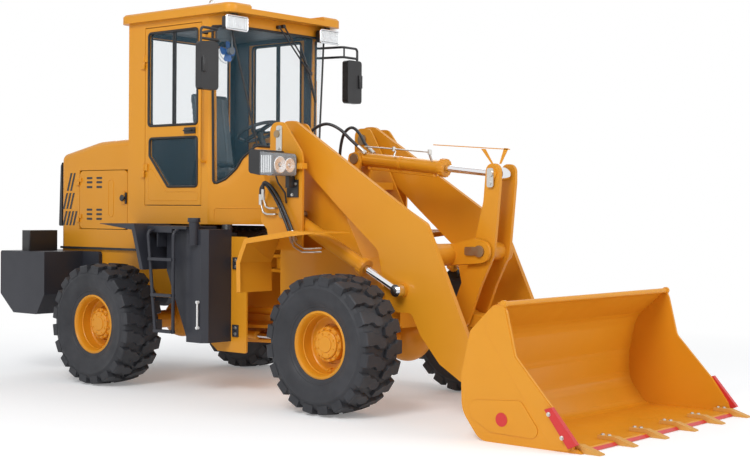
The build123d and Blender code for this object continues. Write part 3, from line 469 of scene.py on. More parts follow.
def arc_path(points, bend):
    """A path of straight runs with arcs at its corners, as a list of points."""
    points = [Vector(p) for p in points]
    path = [points[0]]
    for before, corner, after in zip(points, points[1:], points[2:]):
        into, out = (before - corner).normalized(), (after - corner).normalized()
        half_turn = into.angle(out) / 2
        if half_turn > radians(89):
            path.append(corner)
            continue
        reach = min(bend / tan(half_turn), (before - corner).length * 0.48, (after - corner).length * 0.48)
        radius = reach * tan(half_turn)
        centre = corner + (into + out).normalized() * (radius / sin(half_turn))
        first, last = corner + into * reach - centre, corner + out * reach - centre
        turn_axis, sweep = first.cross(last).normalized(), first.angle(last)
        steps = max(3, int(degrees(sweep) / 9))
        path += [centre + Matrix.Rotation(sweep * k / steps, 3, turn_axis) @ first for k in range(steps + 1)]
    path.append(points[-1])
    return path


def add_tube(bm, path, radius, segments=16):
    """A round tube along a list of points, its rings carried along without twist."""
    path = [Vector(p) for p in path]
    rings = []
    side = (path[1] - path[0]).orthogonal().normalized()
    for number, place in enumerate(path):
        ahead = path[min(number + 1, len(path) - 1)] - path[max(number - 1, 0)]
        ahead.normalize()
        side = (side - ahead * side.dot(ahead)).normalized()
        frame_matrix = Matrix((side, ahead.cross(side), ahead)).transposed().to_4x4()
        ring = bmesh.ops.create_circle(
            bm, cap_ends=number in (0, len(path) - 1), segments=segments, radius=radius,
            matrix=Matrix.Translation(place) @ frame_matrix)
        rings.append(ring["verts"])
    for first, second in zip(rings, rings[1:]):
        for k in range(segments):
            bm.faces.new((first[k], first[(k + 1) % segments], second[(k + 1) % segments], second[k]))


def add_closed_tube(bm, across, level, outline, radius, segments=8):
    """A tube along a closed outline that lies at a level of X (across 0) or of Y (across 1)."""
    path = [(level, a, b) if across == 0 else (a, level, b) for a, b in outline + outline[:1]]
    add_tube(bm, path, radius, segments=segments)


def finish_piece(name, bm, material, body, bevel=0.0, sharp=32, segments=2):
    """Turn a bmesh into a piece that rides on a body, or on none if no body is given."""
    bmesh.ops.recalc_face_normals(bm, faces=bm.faces)
    mesh = bpy.data.meshes.new(name)
    bm.to_mesh(mesh)
    bm.free()
    mesh.shade_smooth()
    mesh.set_sharp_from_angle(angle=radians(sharp))
    mesh.materials.append(material)
    piece = bpy.data.objects.new(name, mesh)
    scene.collection.objects.link(piece)
    if bevel:
        rounding = piece.modifiers.new("rounded edges", "BEVEL")
        rounding.width = bevel
        rounding.segments = segments
        rounding.limit_method = "ANGLE"
        rounding.angle_limit = radians(sharp)
        rounding.harden_normals = True
    if body:
        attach(piece, body)
    return piece


def per_body(name, build, bodies, material, **options):
    """One piece for each body, built by a function that is told the side."""
    for body, side in bodies:
        bm = bmesh.new()
        build(bm, side)
        finish_piece(f"{name}_{body}", bm, material, body, **options)


sides = (("left", 1), ("right", -1))

# %% [markdown]
# The construction pieces whose shape is right stay in view. Plates get their finish, and a live Weld and
# Bevel modifier puts a small shining radius on every edge, as grinding and paint do on the real machine.

# %% Dress the construction nodes


def dress(finish, edge, *names):
    """Give construction nodes a material and rounded edges."""
    for name in names:
        node = nodes[name]
        node.data.materials.clear()
        node.data.materials.append(finish)
        if edge:
            weld = node.modifiers.new("joined corners", "WELD")
            weld.merge_threshold = 0.00002
            rounding = node.modifiers.new("rounded edges", "BEVEL")
            rounding.width = edge
            rounding.segments = 2
            rounding.limit_method = "ANGLE"
            rounding.angle_limit = radians(32)
            rounding.harden_normals = True


dress(yellow_paint, 0.003, "rear_frame", "front_frame", "boom", "bucket", "rocker", "link")
dress(yellow_paint, 0.004, "hood", "cab_frame", "cab_roof", "door_left", "door_right", "engine_door_left",
      "engine_door_right", "front_fenders", "handrails")
dress(yellow_paint, 0.002, "gearbox", "front_axle", "rear_axle", "tilt_barrel")
dress(black_paint, 0.008, "counterweight", "tank_left", "tank_right")
dress(black_paint, 0.003, "decks", "ladders", "rear_fenders")
dress(black_plastic, 0.004, "mirrors", "work_lights", "headlights", "console", "rear_grille", "cab_mounts")
dress(frame_grey, 0.004, "engine")
dress(pin_steel, 0.0015, "hinge_pins", "frame_pins", "bucket_pins", "rocker_pin", "link_pin")
dress(chrome, 0.0, "tilt_rod")
dress(window_glass, 0.0, "cab_glass", "door_glass_left", "door_glass_right")
dress(worn_paint, 0.002, "bucket_teeth")
dress(red_paint, 0.002, "side_cutters")
dress(seal_rubber, 0.01, "seat")
for side_name, side in sides:
    dress(yellow_paint, 0.002, f"lift_{side_name}_barrel", f"steer_{side_name}_barrel")
    dress(chrome, 0.0, f"lift_{side_name}_rod", f"steer_{side_name}_rod")
print("construction nodes dressed", len(nodes))

# %% [markdown]
# The tyres are earthmover tyres with tall interlocking blocks. A carcass is one closed profile spun round
# the axle. A block is a stepped outline on the unrolled tread, given its height with drafted walls, and
# rolled onto the carcass; copies go round both shoulders, half a pitch apart. The tyre's own radius and
# width are read from the construction model.

# %% Tyre sizes
tyre_low, tyre_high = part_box("tyre_front_left")
tyre_radius = (tyre_high.z - tyre_low.z) / 2
tyre_half = (tyre_high.y - tyre_low.y) / 2
tread_depth = 0.030
block_count = 20
block_pitch = 2 * pi * tyre_radius / block_count
bead_radius = 0.252
print("tyre radius", round(tyre_radius, 3), "half width", round(tyre_half, 3),
      "block pitch", round(block_pitch, 3))

# %% Tyre builder


def crown(across):
    """The tread's radius at a place across the tyre: a little lower at the shoulders."""
    return tyre_radius - 0.012 * (across / tyre_half) ** 2


def add_carcass(bm, centre):
    """The tyre's body: beads, curved walls with two ridges, and the floor of the tread."""
    half = [
        (bead_radius + 0.004, 0.130), (bead_radius, 0.152), (0.268, 0.160), (0.280, 0.163), (0.290, 0.172),
        (0.297, 0.173), (0.303, 0.178), (0.340, 0.193), (0.380, 0.2005), (0.412, 0.2015), (0.418, 0.2045),
        (0.428, 0.2045), (0.434, 0.200), (0.455, 0.1955), (0.474, 0.184), (0.487, 0.162), (0.4935, 0.120),
        (0.497, 0.060)]
    drawn_half = 0.205
    half = [(radius, along * tyre_half / drawn_half) for radius, along in half]
    profile = half + [(radius, -along) for radius, along in reversed(half)]
    inner = [(bead_radius + 0.02, -0.11), (0.40, -0.15), (0.47, 0), (0.40, 0.15), (bead_radius + 0.02, 0.11)]
    add_spun(bm, profile + inner, centre, (0, 1, 0), segments=96)


def block_outline():
    """Half a block pair on the unrolled tread: (along the tread, across it), from the shoulder inwards."""
    edge = tyre_half * 0.97
    return [
        (-0.050, edge), (-0.055, 0.135), (-0.030, 0.118), (-0.024, 0.060), (0.004, 0.034), (0.012, 0.006),
        (0.064, 0.000), (0.082, 0.030), (0.076, 0.075), (0.050, 0.098), (0.048, 0.128), (0.056, 0.145),
        (0.052, edge)]


def add_tread_blocks(bm, centre):
    """The blocks of both shoulders, rolled round the carcass."""
    outline = block_outline()
    draft, top_share, shoulder_tuck, edge_drop, shoulder_drop = 0.007, 0.93, 0.006, 0.005, 0.004
    shoulder_swell, root_sink, shoulder_root = 0.001, 0.006, 0.448
    middle_along = sum(p[0] for p in outline) / len(outline)
    shoulder = outline[0][1]
    for side in (1, -1):
        for number in range(block_count):
            half_pitch = 0.5 if side < 0 else 0
            turn = (number + half_pitch) * 2 * pi / block_count
            rings = []
            for level in range(3):
                ring = []
                for along, across in outline:
                    at_shoulder = across == shoulder
                    radius, place, reach = crown(across), across, along
                    if level == 0:
                        reach = middle_along + (along - middle_along) * top_share
                        place = across - shoulder_tuck if at_shoulder else across
                    if level == 1:
                        radius -= edge_drop
                        if at_shoulder:
                            radius -= shoulder_drop
                            place = across + shoulder_swell
                    if level == 2:
                        radius = tyre_radius - tread_depth - root_sink
                        reach = along + (draft if along > middle_along else -draft)
                        if at_shoulder:
                            radius, place = shoulder_root, across + shoulder_swell
                    angle = turn + reach / tyre_radius
                    ring.append(bm.verts.new(Vector(centre) + Vector(
                        (radius * sin(angle), side * place, radius * cos(angle)))))
                rings.append(ring)
            bm.faces.new(rings[0])
            bm.faces.new(rings[2])
            for upper, lower in zip(rings, rings[1:]):
                for k in range(len(outline)):
                    nxt = (k + 1) % len(outline)
                    bm.faces.new((upper[k], upper[nxt], lower[nxt], lower[k]))


# %% Tyres
corners = [(f"{axle}_{side_name}", side) for axle in ("front", "rear") for side_name, side in sides]


def hub_place(corner):
    """The middle of a tyre, read from its box."""
    low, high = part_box(f"tyre_{corner}")
    return (low + high) / 2


for corner, side in corners:
    carcass, blocks = bmesh.new(), bmesh.new()
    add_carcass(carcass, hub_place(corner))
    add_tread_blocks(blocks, hub_place(corner))
    body = f"wheel_{corner}"
    tyre = finish_piece(f"tyre_walls_{corner}", carcass, tyre_rubber, body, sharp=25)
    finish_piece(f"tyre_tread_{corner}", blocks, tyre_rubber, body, sharp=25)
    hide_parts(f"tyre_{corner}")
print("tread blocks on each tyre", 2 * block_count)

# %% [markdown]
# A wheel is a deep dish: a rolled flange that holds the tyre, a stepped barrel, and a disc bolted to the
# planetary hub. The hub cover carries an outer ring of wheel nuts and an inner ring of small bolts.

# %% Wheels


disc_face = 0.158


def add_wheel(bm, centre, side):
    """The rim, its barrel and disc, seen from outside on one side."""
    face = side * disc_face
    flange = [(0.240, 0.0), (0.252, 0.004), (0.258, 0.010), (0.258, 0.020), (0.250, 0.026)]
    back = [(0.250, 0.300), (0.258, 0.306), (0.258, 0.316), (0.240, 0.316)]
    inside = [
        (0.240, 0.240), (0.228, 0.190), (0.216, 0.172), (0.150, 0.168), (0.150, 0.156), (0.205, 0.154),
        (0.214, 0.146), (0.219, 0.080), (0.217, 0.072), (0.222, 0.066), (0.224, 0.030), (0.230, 0.012)]
    add_spun(bm, [(r, face - side * a) for r, a in flange + back + inside], centre, (0, 1, 0), segments=72)
    hub = [
        (0.0, 0.064), (0.056, 0.064), (0.060, 0.067), (0.060, 0.072), (0.098, 0.073), (0.104, 0.078),
        (0.106, 0.092), (0.128, 0.094), (0.133, 0.099), (0.133, 0.118), (0.128, 0.122), (0.128, 0.168),
        (0.152, 0.170), (0.152, 0.186), (0.0, 0.190)]
    add_spun(bm, [(r, face - side * a) for r, a in hub], centre, (0, 1, 0), segments=60)


def add_wheel_bolts(bm, centre, side):
    """Wheel nuts on the hub flange and bolts on the hub cover."""
    outward = Vector((0, side, 0))
    for count, ring, depth, size in ((12, 0.119, 0.094, 0.013), (8, 0.082, 0.073, 0.008)):
        for number in range(count):
            angle = 2 * pi * (number + 0.5) / count
            spoke = Vector((sin(angle), 0, cos(angle)))
            place = Vector(centre) + spoke * ring + outward * (disc_face - depth)
            add_bolt(bm, place, outward, size)
            if count == 12:
                add_rod(bm, place, place + outward * 0.017, 0.0055, segments=10)
    valve = Vector(centre) + Vector((0.0, side * (disc_face - 0.150), -0.185))
    stem = [valve, valve + outward * 0.03, valve + outward * 0.05 + Vector((0, 0, -0.012))]
    add_tube(bm, arc_path(stem, 0.01), 0.005)


for corner, side in corners:
    body = f"wheel_{corner}"
    wheel, bolts = bmesh.new(), bmesh.new()
    add_wheel(wheel, hub_place(corner), side)
    bmesh.ops.remove_doubles(wheel, verts=wheel.verts, dist=0.00001)
    rim = finish_piece(f"wheel_disc_{corner}", wheel, yellow_paint, body, sharp=28, bevel=0.0018)
    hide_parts(f"rim_{corner}")
    add_wheel_bolts(bolts, hub_place(corner), side)
    finish_piece(f"wheel_nuts_{corner}", bolts, yellow_paint, body, sharp=30)
print("wheels ready")

# %% [markdown]
# The cab is a welded box whose front is glass all round: two slanted corner panes bonded edge to edge to the
# windscreen. The panes sit in black rubber, and the bonded corners show as a thin black line. A function
# gives any point on the slanted pane, so the rubber and the line follow the glass by themselves.

# %% Cab rubber
post_x, cab_side, screen_base, screen_top = -0.81, 0.650, 2.06, 3.06


def nose(z):
    """Where the windscreen meets a corner pane at a height: its x and its half width."""
    share = (z - 1.4) / 1.76
    return -0.408 - 0.223 * share, 0.255 + 0.338 * share


def on_pane(x, z, side, out=0.0):
    """The point of the slanted corner pane with this x and z, moved outwards if asked."""
    front, half = nose(z)
    share = (x - post_x) / (front - post_x)
    outward = Vector((cab_side - half, side * (front - post_x), 0)).normalized()
    return Vector((x, side * (cab_side + share * (half - cab_side)), z)) + outward * out


def nose_rubber(bm):
    """The rubber round the whole nose, and the bonded corners."""
    base_x, base_half = nose(screen_base)
    top_x, top_half = nose(screen_top)
    lower = [(-0.776, 1.735), (-0.699, 1.785), (-0.633, 1.870), (base_x - 0.1, 1.960),
             (base_x - 0.014, screen_base)]
    start = [on_pane(-0.776, screen_top, -1, 0.002)] + [on_pane(x, z, -1, 0.002) for x, z in lower]
    start.append(Vector((base_x, -base_half, screen_base)))
    finish = [Vector((p.x, -p.y, p.z)) for p in reversed(start)]
    top = [Vector((top_x, top_half, screen_top)), Vector((top_x, -top_half, screen_top)), start[0]]
    add_tube(bm, arc_path(start + finish + top, 0.025), 0.011, segments=10)
    for side in (-1, 1):
        corner_low, corner_high = nose(screen_base), nose(screen_top)
        low = Vector((corner_low[0] - 0.001, side * corner_low[1], screen_base))
        high = Vector((corner_high[0] - 0.001, side * corner_high[1], screen_top))
        add_tube(bm, [low, high], 0.009, segments=10)


rubber = bmesh.new()
nose_rubber(rubber)
rear_window = rounded([(-0.56, 2.23), (0.56, 2.23), (0.56, 3.06), (-0.56, 3.06)], 0.03)
add_closed_tube(rubber, 0, -1.841, rear_window, 0.010, segments=10)
finish_piece("cab_rubber", rubber, seal_rubber, "rear_frame", sharp=50)

# %% [markdown]
# Each door has two windows in rubber, two upright rails where the upper panes slide past each other, a
# handle between the windows, and a pressed panel below.

# %% Doors
lower_window = rounded(
    [(-1.554, 1.990), (-1.314, 1.720), (-0.941, 1.720), (-0.941, 2.140), (-1.554, 2.140)], 0.03)
upper_window = rounded([(-1.569, 2.250), (-0.941, 2.250), (-0.941, 3.058), (-1.569, 3.058)], 0.03)


def door_rubber(bm, side):
    """Window rubber, and the rails between the sliding panes."""
    for window in (lower_window, upper_window):
        for y in (cab_side + 0.001, cab_side - 0.033):
            add_closed_tube(bm, 1, side * y, window, 0.011)
    for x in (-1.262, -1.236):
        add_side_block(bm, side, (x - 0.008, x + 0.008), (0.632, 0.643), (2.262, 3.046))


def door_handle(bm, side):
    """A paddle handle in its dish, with a round key lock beside it."""
    skin, height = cab_side + 0.001, 2.195
    y = side * skin
    add_side_block(bm, side, (-1.10, -0.96), (skin, skin + 0.010), (2.168, 2.222), chamfer=0.004)
    paddle = [(-1.085, y, height), (-1.085, y + side * 0.035, height), (-0.995, y + side * 0.035, height),
              (-0.995, y, height)]
    add_tube(bm, arc_path(paddle, 0.012), 0.007, segments=10)
    add_rod(bm, (-0.975, y, height), (-0.975, y + side * 0.018, height), 0.009)


def door_press(bm, side):
    """The raised rib of the pressed panel under the window."""
    panel = rounded([(-1.57, 1.60), (-0.93, 1.60), (-0.93, 1.675), (-1.34, 1.675), (-1.57, 1.92)], 0.03)
    add_closed_tube(bm, 1, side * (cab_side - 0.001), panel, 0.004, segments=6)


doors = (("door_left", 1), ("door_right", -1))
per_body("window_rubber", door_rubber, doors, seal_rubber, sharp=50)
per_body("handle", door_handle, doors, black_plastic, sharp=40)
per_body("press_rib", door_press, doors, yellow_paint, sharp=50)

# %% [markdown]
# The cab is trimmed with grey moulded panels: they cover the posts, the rear wall, the front corners and
# the roof. They are thin shells a few millimetres inside the steel, so they are modelled as plates there.
# A black rubber mat covers the floor.

# %% Cab lining
lining = bmesh.new()
for side in (-1, 1):
    for x_run, z_run in (((-1.80, -1.615), (1.45, 3.12)), ((-0.895, -0.785), (1.45, 3.12)),
                         ((-1.80, -0.79), (3.075, 3.125))):
        add_side_block(lining, side, x_run, (0.616, 0.608), z_run)
    for y_run, z_run in (((0.555, 0.608), (1.45, 3.12)), ((0.0, 0.608), (1.45, 2.225)),
                         ((0.0, 0.608), (3.065, 3.12))):
        add_side_block(lining, side, (-1.806, -1.798), y_run, z_run)
    corner = [(-0.787, on_pane(-0.790, 1.45, side, -0.036).y)]
    corner += [(x, on_pane(x, 1.5, side, out).y)
               for x, out in ((-0.55, -0.036), (-0.55, -0.046), (-0.787, -0.046))]
    add_plate(lining, corner, 2, 1.45, 1.70)
add_block(lining, (-1.79, -0.60, 3.105), (-0.70, 0.60, 3.125))
finish_piece("cab_lining", lining, trim_grey, "rear_frame", bevel=0.002)
mat = bmesh.new()
add_block(mat, (-1.79, -0.60, 1.440), (-0.78, 0.60, 1.448))
finish_piece("floor_mat", mat, seal_rubber, "rear_frame")

# %% [markdown]
# One pantograph wiper clears the tall windscreen. Its two arms hang from a motor behind the header and stay
# parallel, so the blade keeps upright over the whole stroke. The arms are pressed steel strip, painted
# black, and the blade is a rubber edge in a steel spine.

# %% Wiper
def on_screen(y, z, out):
    """A point in front of the windscreen."""
    return Vector((nose(z)[0] + out, y, z))


wiper = bmesh.new()
for top, foot in (((-0.020, 3.105), (0.322, 2.727)), ((0.040, 3.118), (0.348, 2.735))):
    add_rod(wiper, on_screen(*top, -0.010), on_screen(*top, 0.032), 0.016)
    add_tube(wiper, [on_screen(*top, 0.028), on_screen(*foot, 0.022)], 0.007, segments=8)
spine = [on_screen(0.243, 2.958, 0.016), on_screen(0.322, 2.730, 0.018), on_screen(0.376, 2.474, 0.016)]
add_tube(wiper, spine, 0.009, segments=8)
add_tube(wiper, [on_screen(0.243, 2.958, 0.006), on_screen(0.376, 2.474, 0.006)], 0.004, segments=6)
add_block(wiper, on_screen(0.320, 2.715, 0.010), on_screen(0.350, 2.745, 0.034), chamfer=0.004)
finish_piece("wiper", wiper, black_plastic, "rear_frame", sharp=45)

# %% [markdown]
# A small cooling fan with blue blades hangs at the driver's front right, in a wire guard on a swivel foot.

# %% Fan
fan_place = Vector((-0.765, -0.47, 2.865))
blades = bmesh.new()
for number in range(4):
    turn = Matrix.Rotation(number * pi / 2, 4, "X")
    shape = rounded([(0.010, -0.020), (0.085, -0.045), (0.085, 0.045), (0.010, 0.020)], 0.02)
    fresh = bmesh.new()
    add_plate(fresh, shape, 0, -0.0015, 0.0015)
    bmesh.ops.transform(fresh, matrix=Matrix.Translation(fan_place) @ turn @ Matrix.Rotation(0.35, 4, "Y"),
                        verts=fresh.verts)
    piece_mesh = bpy.data.meshes.new("blade")
    fresh.to_mesh(piece_mesh)
    fresh.free()
    blades.from_mesh(piece_mesh)
    bpy.data.meshes.remove(piece_mesh)
add_rod(blades, fan_place - Vector((0.02, 0, 0)), fan_place + Vector((0.02, 0, 0)), 0.022)
finish_piece("fan_blades", blades, blue_plastic, "rear_frame", sharp=40)
guard = bmesh.new()
for radius in (0.035, 0.068, 0.098):
    turns = [2 * pi * k / 28 for k in range(29)]
    circle = [fan_place + Vector((-0.026, radius * cos(turn), radius * sin(turn))) for turn in turns]
    add_tube(guard, circle, 0.0022, segments=6)
add_rod(guard, fan_place + Vector((0.02, 0, 0)), fan_place + Vector((0.055, 0, 0)), 0.03)
add_tube(guard, arc_path([fan_place + Vector((0.05, 0, 0)), fan_place + Vector((0.05, 0, 0.15)),
                          fan_place + Vector((0.02, 0, 0.24))], 0.03), 0.008, segments=8)
finish_piece("fan_guard", guard, grey_plastic, "rear_frame", sharp=45)

# %% [markdown]
# Lamps. Two work lights hang under the front corners of the roof: a chromed rim, a fluted clear lens and a
# bright reflector behind it. The headlamps on the towers are larger: one clear moulding wraps the front and
# the outer side, with two reflector bowls and a turn signal inside.

# %% Work lights
work_rim, work_lens, work_bowl = bmesh.new(), bmesh.new(), bmesh.new()
for side in (-1, 1):
    y_low, y_high = sorted((side * 0.455, side * 0.690))
    left, right = y_low - 0.004, y_high + 0.004
    outline = rounded([(left, 3.018), (right, 3.018), (right, 3.134), (left, 3.134)], 0.016)
    add_closed_tube(work_rim, 0, -0.548, outline, 0.008, segments=10)
    add_block(work_bowl, (-0.551, y_low + 0.006, 3.028), (-0.547, y_high - 0.006, 3.124))
    for number in range(9):
        y = y_low + 0.020 + number * (y_high - y_low - 0.040) / 8
        add_rod(work_lens, (-0.544, y, 3.030), (-0.544, y, 3.122), 0.0125, segments=14)
    for y in (y_low + 0.07, y_high - 0.07):
        add_rod(work_bowl, (-0.549, y, 3.076), (-0.543, y, 3.076), 0.030)
finish_piece("work_light_rims", work_rim, chrome, "rear_frame", sharp=60)
finish_piece("work_light_bowls", work_bowl, lamp_silver, "rear_frame")
finish_piece("work_light_lenses", work_lens, lamp_glass, "rear_frame", sharp=60)

# %% Headlamps
lamp_shell = [(0.125, 1.800), (0.125, 1.982), (0.272, 1.964), (0.272, 1.788)]


def headlamp_lens(bm, side):
    """The clear moulding over the front and the outer side."""
    add_side_plate(bm, rounded(lamp_shell, [0.01, 0.02, 0.03, 0.03]), side, 0.712, 0.972)


def headlamp_inside(bm, side):
    """Two reflector bowls with their bulbs, and the ribbed reflector of the turn signal."""
    for y, size in ((0.775, 0.052), (0.885, 0.062)):
        place = Vector((0.2635, side * y, 1.876))
        bowl = [(size, 0.004), (size + 0.006, 0.0), (size, -0.001), (size * 0.45, -0.004), (0.0, -0.005),
                (0.0, -0.002), (size * 0.4, 0.0)]
        add_spun(bm, bowl, place, (1, 0, 0), segments=28)
        add_rod(bm, place, place + Vector((0.006, 0, 0)), 0.012, segments=16)
    for number in range(5):
        x = 0.140 + number * 0.024
        add_rod(bm, (x, side * 0.961, 1.815), (x, side * 0.961, 1.950), 0.008, segments=10)


def headlamp_frame(bm, side):
    """The black housing behind the lens, and its cable."""
    housing = [(0.006, 1.815), (0.006, 2.004), (0.128, 1.990), (0.128, 1.795)]
    add_side_plate(bm, rounded(housing, [0.03, 0.04, 0.005, 0.005]), side, 0.700, 0.975)
    cable = [(0.08, side * 0.76, 1.83), (0.10, side * 0.74, 1.74), (0.14, side * 0.70, 1.66),
             (0.13, side * 0.675, 1.58)]
    add_tube(bm, arc_path(cable, 0.03), 0.007, segments=10)


for side_name, side in sides:
    for name, build, material in (
            ("headlamp_lens", headlamp_lens, lamp_glass),
            ("headlamp_inside", headlamp_inside, lamp_silver),
            ("headlamp_frame", headlamp_frame, black_plastic)):
        bm = bmesh.new()
        build(bm, side)
        finish_piece(f"{name}_{side_name}", bm, material, "front_frame", bevel=0.002, sharp=40)
bracket_bolts = bmesh.new()
for side in (-1, 1):
    for x, z in ((0.159, 1.733), (0.227, 1.732), (0.191, 1.646)):
        add_bolt(bracket_bolts, (x, side * 0.6725, z), (0, side, 0), 0.011)
    for z in (2.170, 2.017):
        add_bolt(bracket_bolts, (0.036, side * 0.668, z), (0, side, 0), 0.013)
finish_piece("tower_bolts", bracket_bolts, zinc, "front_frame", sharp=30)

# %% [markdown]
# Every pin is kept from turning by a small plate with two screws. The ones at the towers and at the head of
# the rocker show from outside. They are zinc-plated strip with rounded ends.

# %% Pin locks
tower_strips = bmesh.new()
for side in (-1, 1):
    strip = rounded([(0.004, 1.985), (0.068, 1.985), (0.068, 2.200), (0.004, 2.200)], 0.02)
    add_side_plate(tower_strips, strip, side, 0.6602, 0.668)
finish_piece("tower_pin_locks", tower_strips, zinc, "front_frame", bevel=0.001)
head_locks = bmesh.new()
for side in (-1, 1):
    strip = rounded([(1.695, 1.705), (1.755, 1.705), (1.755, 1.850), (1.695, 1.850)], 0.018)
    add_side_plate(head_locks, strip, side, 0.1302, 0.138)
    add_bolt(head_locks, (1.725, side * 0.138, 1.735), (0, side, 0), 0.014)
    add_rod(head_locks, (1.730, side * 0.138, 1.807), (1.730, side * 0.150, 1.807), 0.024)
finish_piece("rocker_head_locks", head_locks, zinc, "rocker", sharp=30)

# %% [markdown]
# The side of the hood is a door with two fields of cooling slots and a pressed rib. Behind it the panel
# carries slanting louvres. A rubber strip seals the hood against the frame. The slots are punched holes
# with dark sheet behind them, drawn here as thin black inlays: partly that sheet's colour, partly painted
# shade for the dark inside the holes.

# %% Hood sides
def slots(bm, side):
    """Six rows of punched slots in the engine door, as black inlays with painted shade for the holes."""
    for x in (-2.556, -2.415):
        for z in (1.807, 1.768, 1.724, 1.515, 1.474, 1.431):
            slot = [(x, z - 0.010), (x + 0.081, z - 0.010), (x + 0.081, z + 0.010), (x, z + 0.010)]
            # Black inlay on the door's face: the dark sheet's colour plus painted shade for the hole.
            add_side_plate(bm, rounded(slot, 0.008, 3), side, 0.548, 0.5512)


def door_ribs(bm, side):
    """The pressed rib beside the slots."""
    rib = rounded([(-2.240, 1.452), (-2.172, 1.452), (-2.172, 1.790), (-2.240, 1.790)], 0.03)
    add_closed_tube(bm, 1, side * 0.550, rib, 0.0045)


def door_lock(bm, side):
    """The black lock and hinge block at the front edge of the engine door."""
    y = side * 0.550
    add_side_block(bm, side, (-2.052, -1.975), (0.550, 0.550 + 0.014), (1.570, 1.672), chamfer=0.006)
    add_rod(bm, (-2.012, y, 1.622), (-2.012, y + side * 0.034, 1.622), 0.022)
    add_rod(bm, (-2.012, y + side * 0.034, 1.622), (-2.012, y + side * 0.040, 1.622), 0.030, 0.024)


engine_doors = (("engine_door_left", 1), ("engine_door_right", -1))
per_body("slots", slots, engine_doors, black_plastic)
per_body("pressed_rib", door_ribs, engine_doors, yellow_paint, sharp=50)
per_body("lock", door_lock, engine_doors, black_plastic, sharp=35)

louvres = bmesh.new()
louvre_base, louvre_lean, louvre_width = 1.367, 0.34, 0.026
for side in (-1, 1):
    for number in range(5):
        x = -2.935 + number * 0.050
        for low_z, high_z in ((louvre_base, 1.500), (1.520, 1.670), (1.690, 1.857)):
            foot = x + (low_z - louvre_base) * louvre_lean - 0.030
            head = x + (high_z - louvre_base) * louvre_lean - 0.030
            if head + louvre_width > -2.690 or foot < -2.945:
                continue
            slat = [(foot, low_z), (foot + louvre_width, low_z),
                    (head + louvre_width, high_z), (head, high_z)]
            add_side_plate(louvres, slat, side, 0.549, 0.5515)
    add_side_block(louvres, side, (-2.945, -1.850), (0.540, 0.556), (1.150, 1.170))
finish_piece("hood_louvres", louvres, black_plastic, "rear_frame")

# %% [markdown]
# Hydraulic hoses. Two leave steel pipes beside each tower and feed the lift cylinder; two more loop over
# the tower's crossbar to the tilt cylinder. A hose is a rubber tube with a crimped steel ferrule and a nut
# at each end, and it hangs in a curve that leaves room for the cylinder to swing.

# %% Hoses


def smooth_path(points, steps=7):
    """A soft curve through every point, as a list of points."""
    knots = [Vector(p) for p in points]
    knots = [2 * knots[0] - knots[1], *knots, 2 * knots[-1] - knots[-2]]
    path = []
    for a, b, c, d in zip(knots, knots[1:], knots[2:], knots[3:]):
        for t in (step / steps for step in range(steps)):
            path.append((2 * b + (c - a) * t + (2 * a - 5 * b + 4 * c - d) * t * t
                         + (3 * b - a - 3 * c + d) * t ** 3) / 2)
    return [*path, knots[-2]]


def add_ferrule(bm, tip, inward, radius):
    """The crimped sleeve and the nut on a hose's end."""
    direction = (inward - tip).normalized()
    add_rod(bm, tip - direction * 0.022, tip + direction * 0.040, radius * 1.28, segments=16)
    add_rod(bm, tip - direction * 0.045, tip - direction * 0.020, radius * 1.45, segments=6)


def add_hose(bm, first_end, last_end, points, radius):
    """A hose along a soft curve, with a ferrule at each end in a bmesh of its own."""
    path = smooth_path(points)
    add_tube(bm, path, radius, segments=14)
    add_ferrule(first_end, path[0], path[1], radius)
    add_ferrule(last_end, path[-1], path[-2], radius)


tower_hoses, tower_ends, tower_pipes = bmesh.new(), bmesh.new(), bmesh.new()
hose_plane = 0.690


def add_tower_pipe(side, shift, run, foot, foot_y, bend):
    """A steel pipe beside a tower, whose last stretch turns inwards."""
    pipe = [(x, side * (hose_plane + shift), z) for x, z in run]
    pipe.append((pipe[-1][0] + foot, side * foot_y, pipe[-1][2]))
    add_tube(tower_pipes, arc_path(pipe, bend), 0.008, segments=12)


for side in (-1, 1):
    for shift, run in (
            (0.0, [(-0.141, 1.610), (-0.138, 1.700), (-0.087, 1.727), (-0.011, 1.657), (0.064, 1.558),
                   (0.150, 1.407), (0.196, 1.310)]),
            (0.012, [(-0.103, 1.650), (-0.096, 1.742), (-0.023, 1.719), (0.063, 1.634), (0.138, 1.513),
                     (0.202, 1.407), (0.240, 1.325)])):
        hose_run = [(x, side * (hose_plane + shift), z) for x, z in run]
        add_hose(tower_hoses, tower_ends, tower_ends, hose_run, 0.0125)
    for shift, run in (
            (0.0, [(-0.141, 1.590), (-0.113, 1.505), (-0.070, 1.490), (0.015, 1.490)]),
            (0.012, [(-0.103, 1.630), (-0.070, 1.548), (-0.030, 1.538), (0.015, 1.538)])):
        add_tower_pipe(side, shift, run, 0.004, 0.655, 0.025)
    for shift, run in (
            (0.0, [(0.196, 1.290), (0.230, 1.235), (0.320, 1.197), (0.455, 1.200)]),
            (0.022, [(0.240, 1.305), (0.275, 1.262), (0.360, 1.225), (0.455, 1.228)])):
        add_tower_pipe(side, shift, run, 0.02, 0.640, 0.03)
finish_piece("tower_hoses", tower_hoses, hose_rubber, "front_frame", sharp=60)
finish_piece("tower_hose_ends", tower_ends, zinc, "front_frame", sharp=40)
finish_piece("tower_pipes", tower_pipes, zinc, "front_frame", sharp=60)

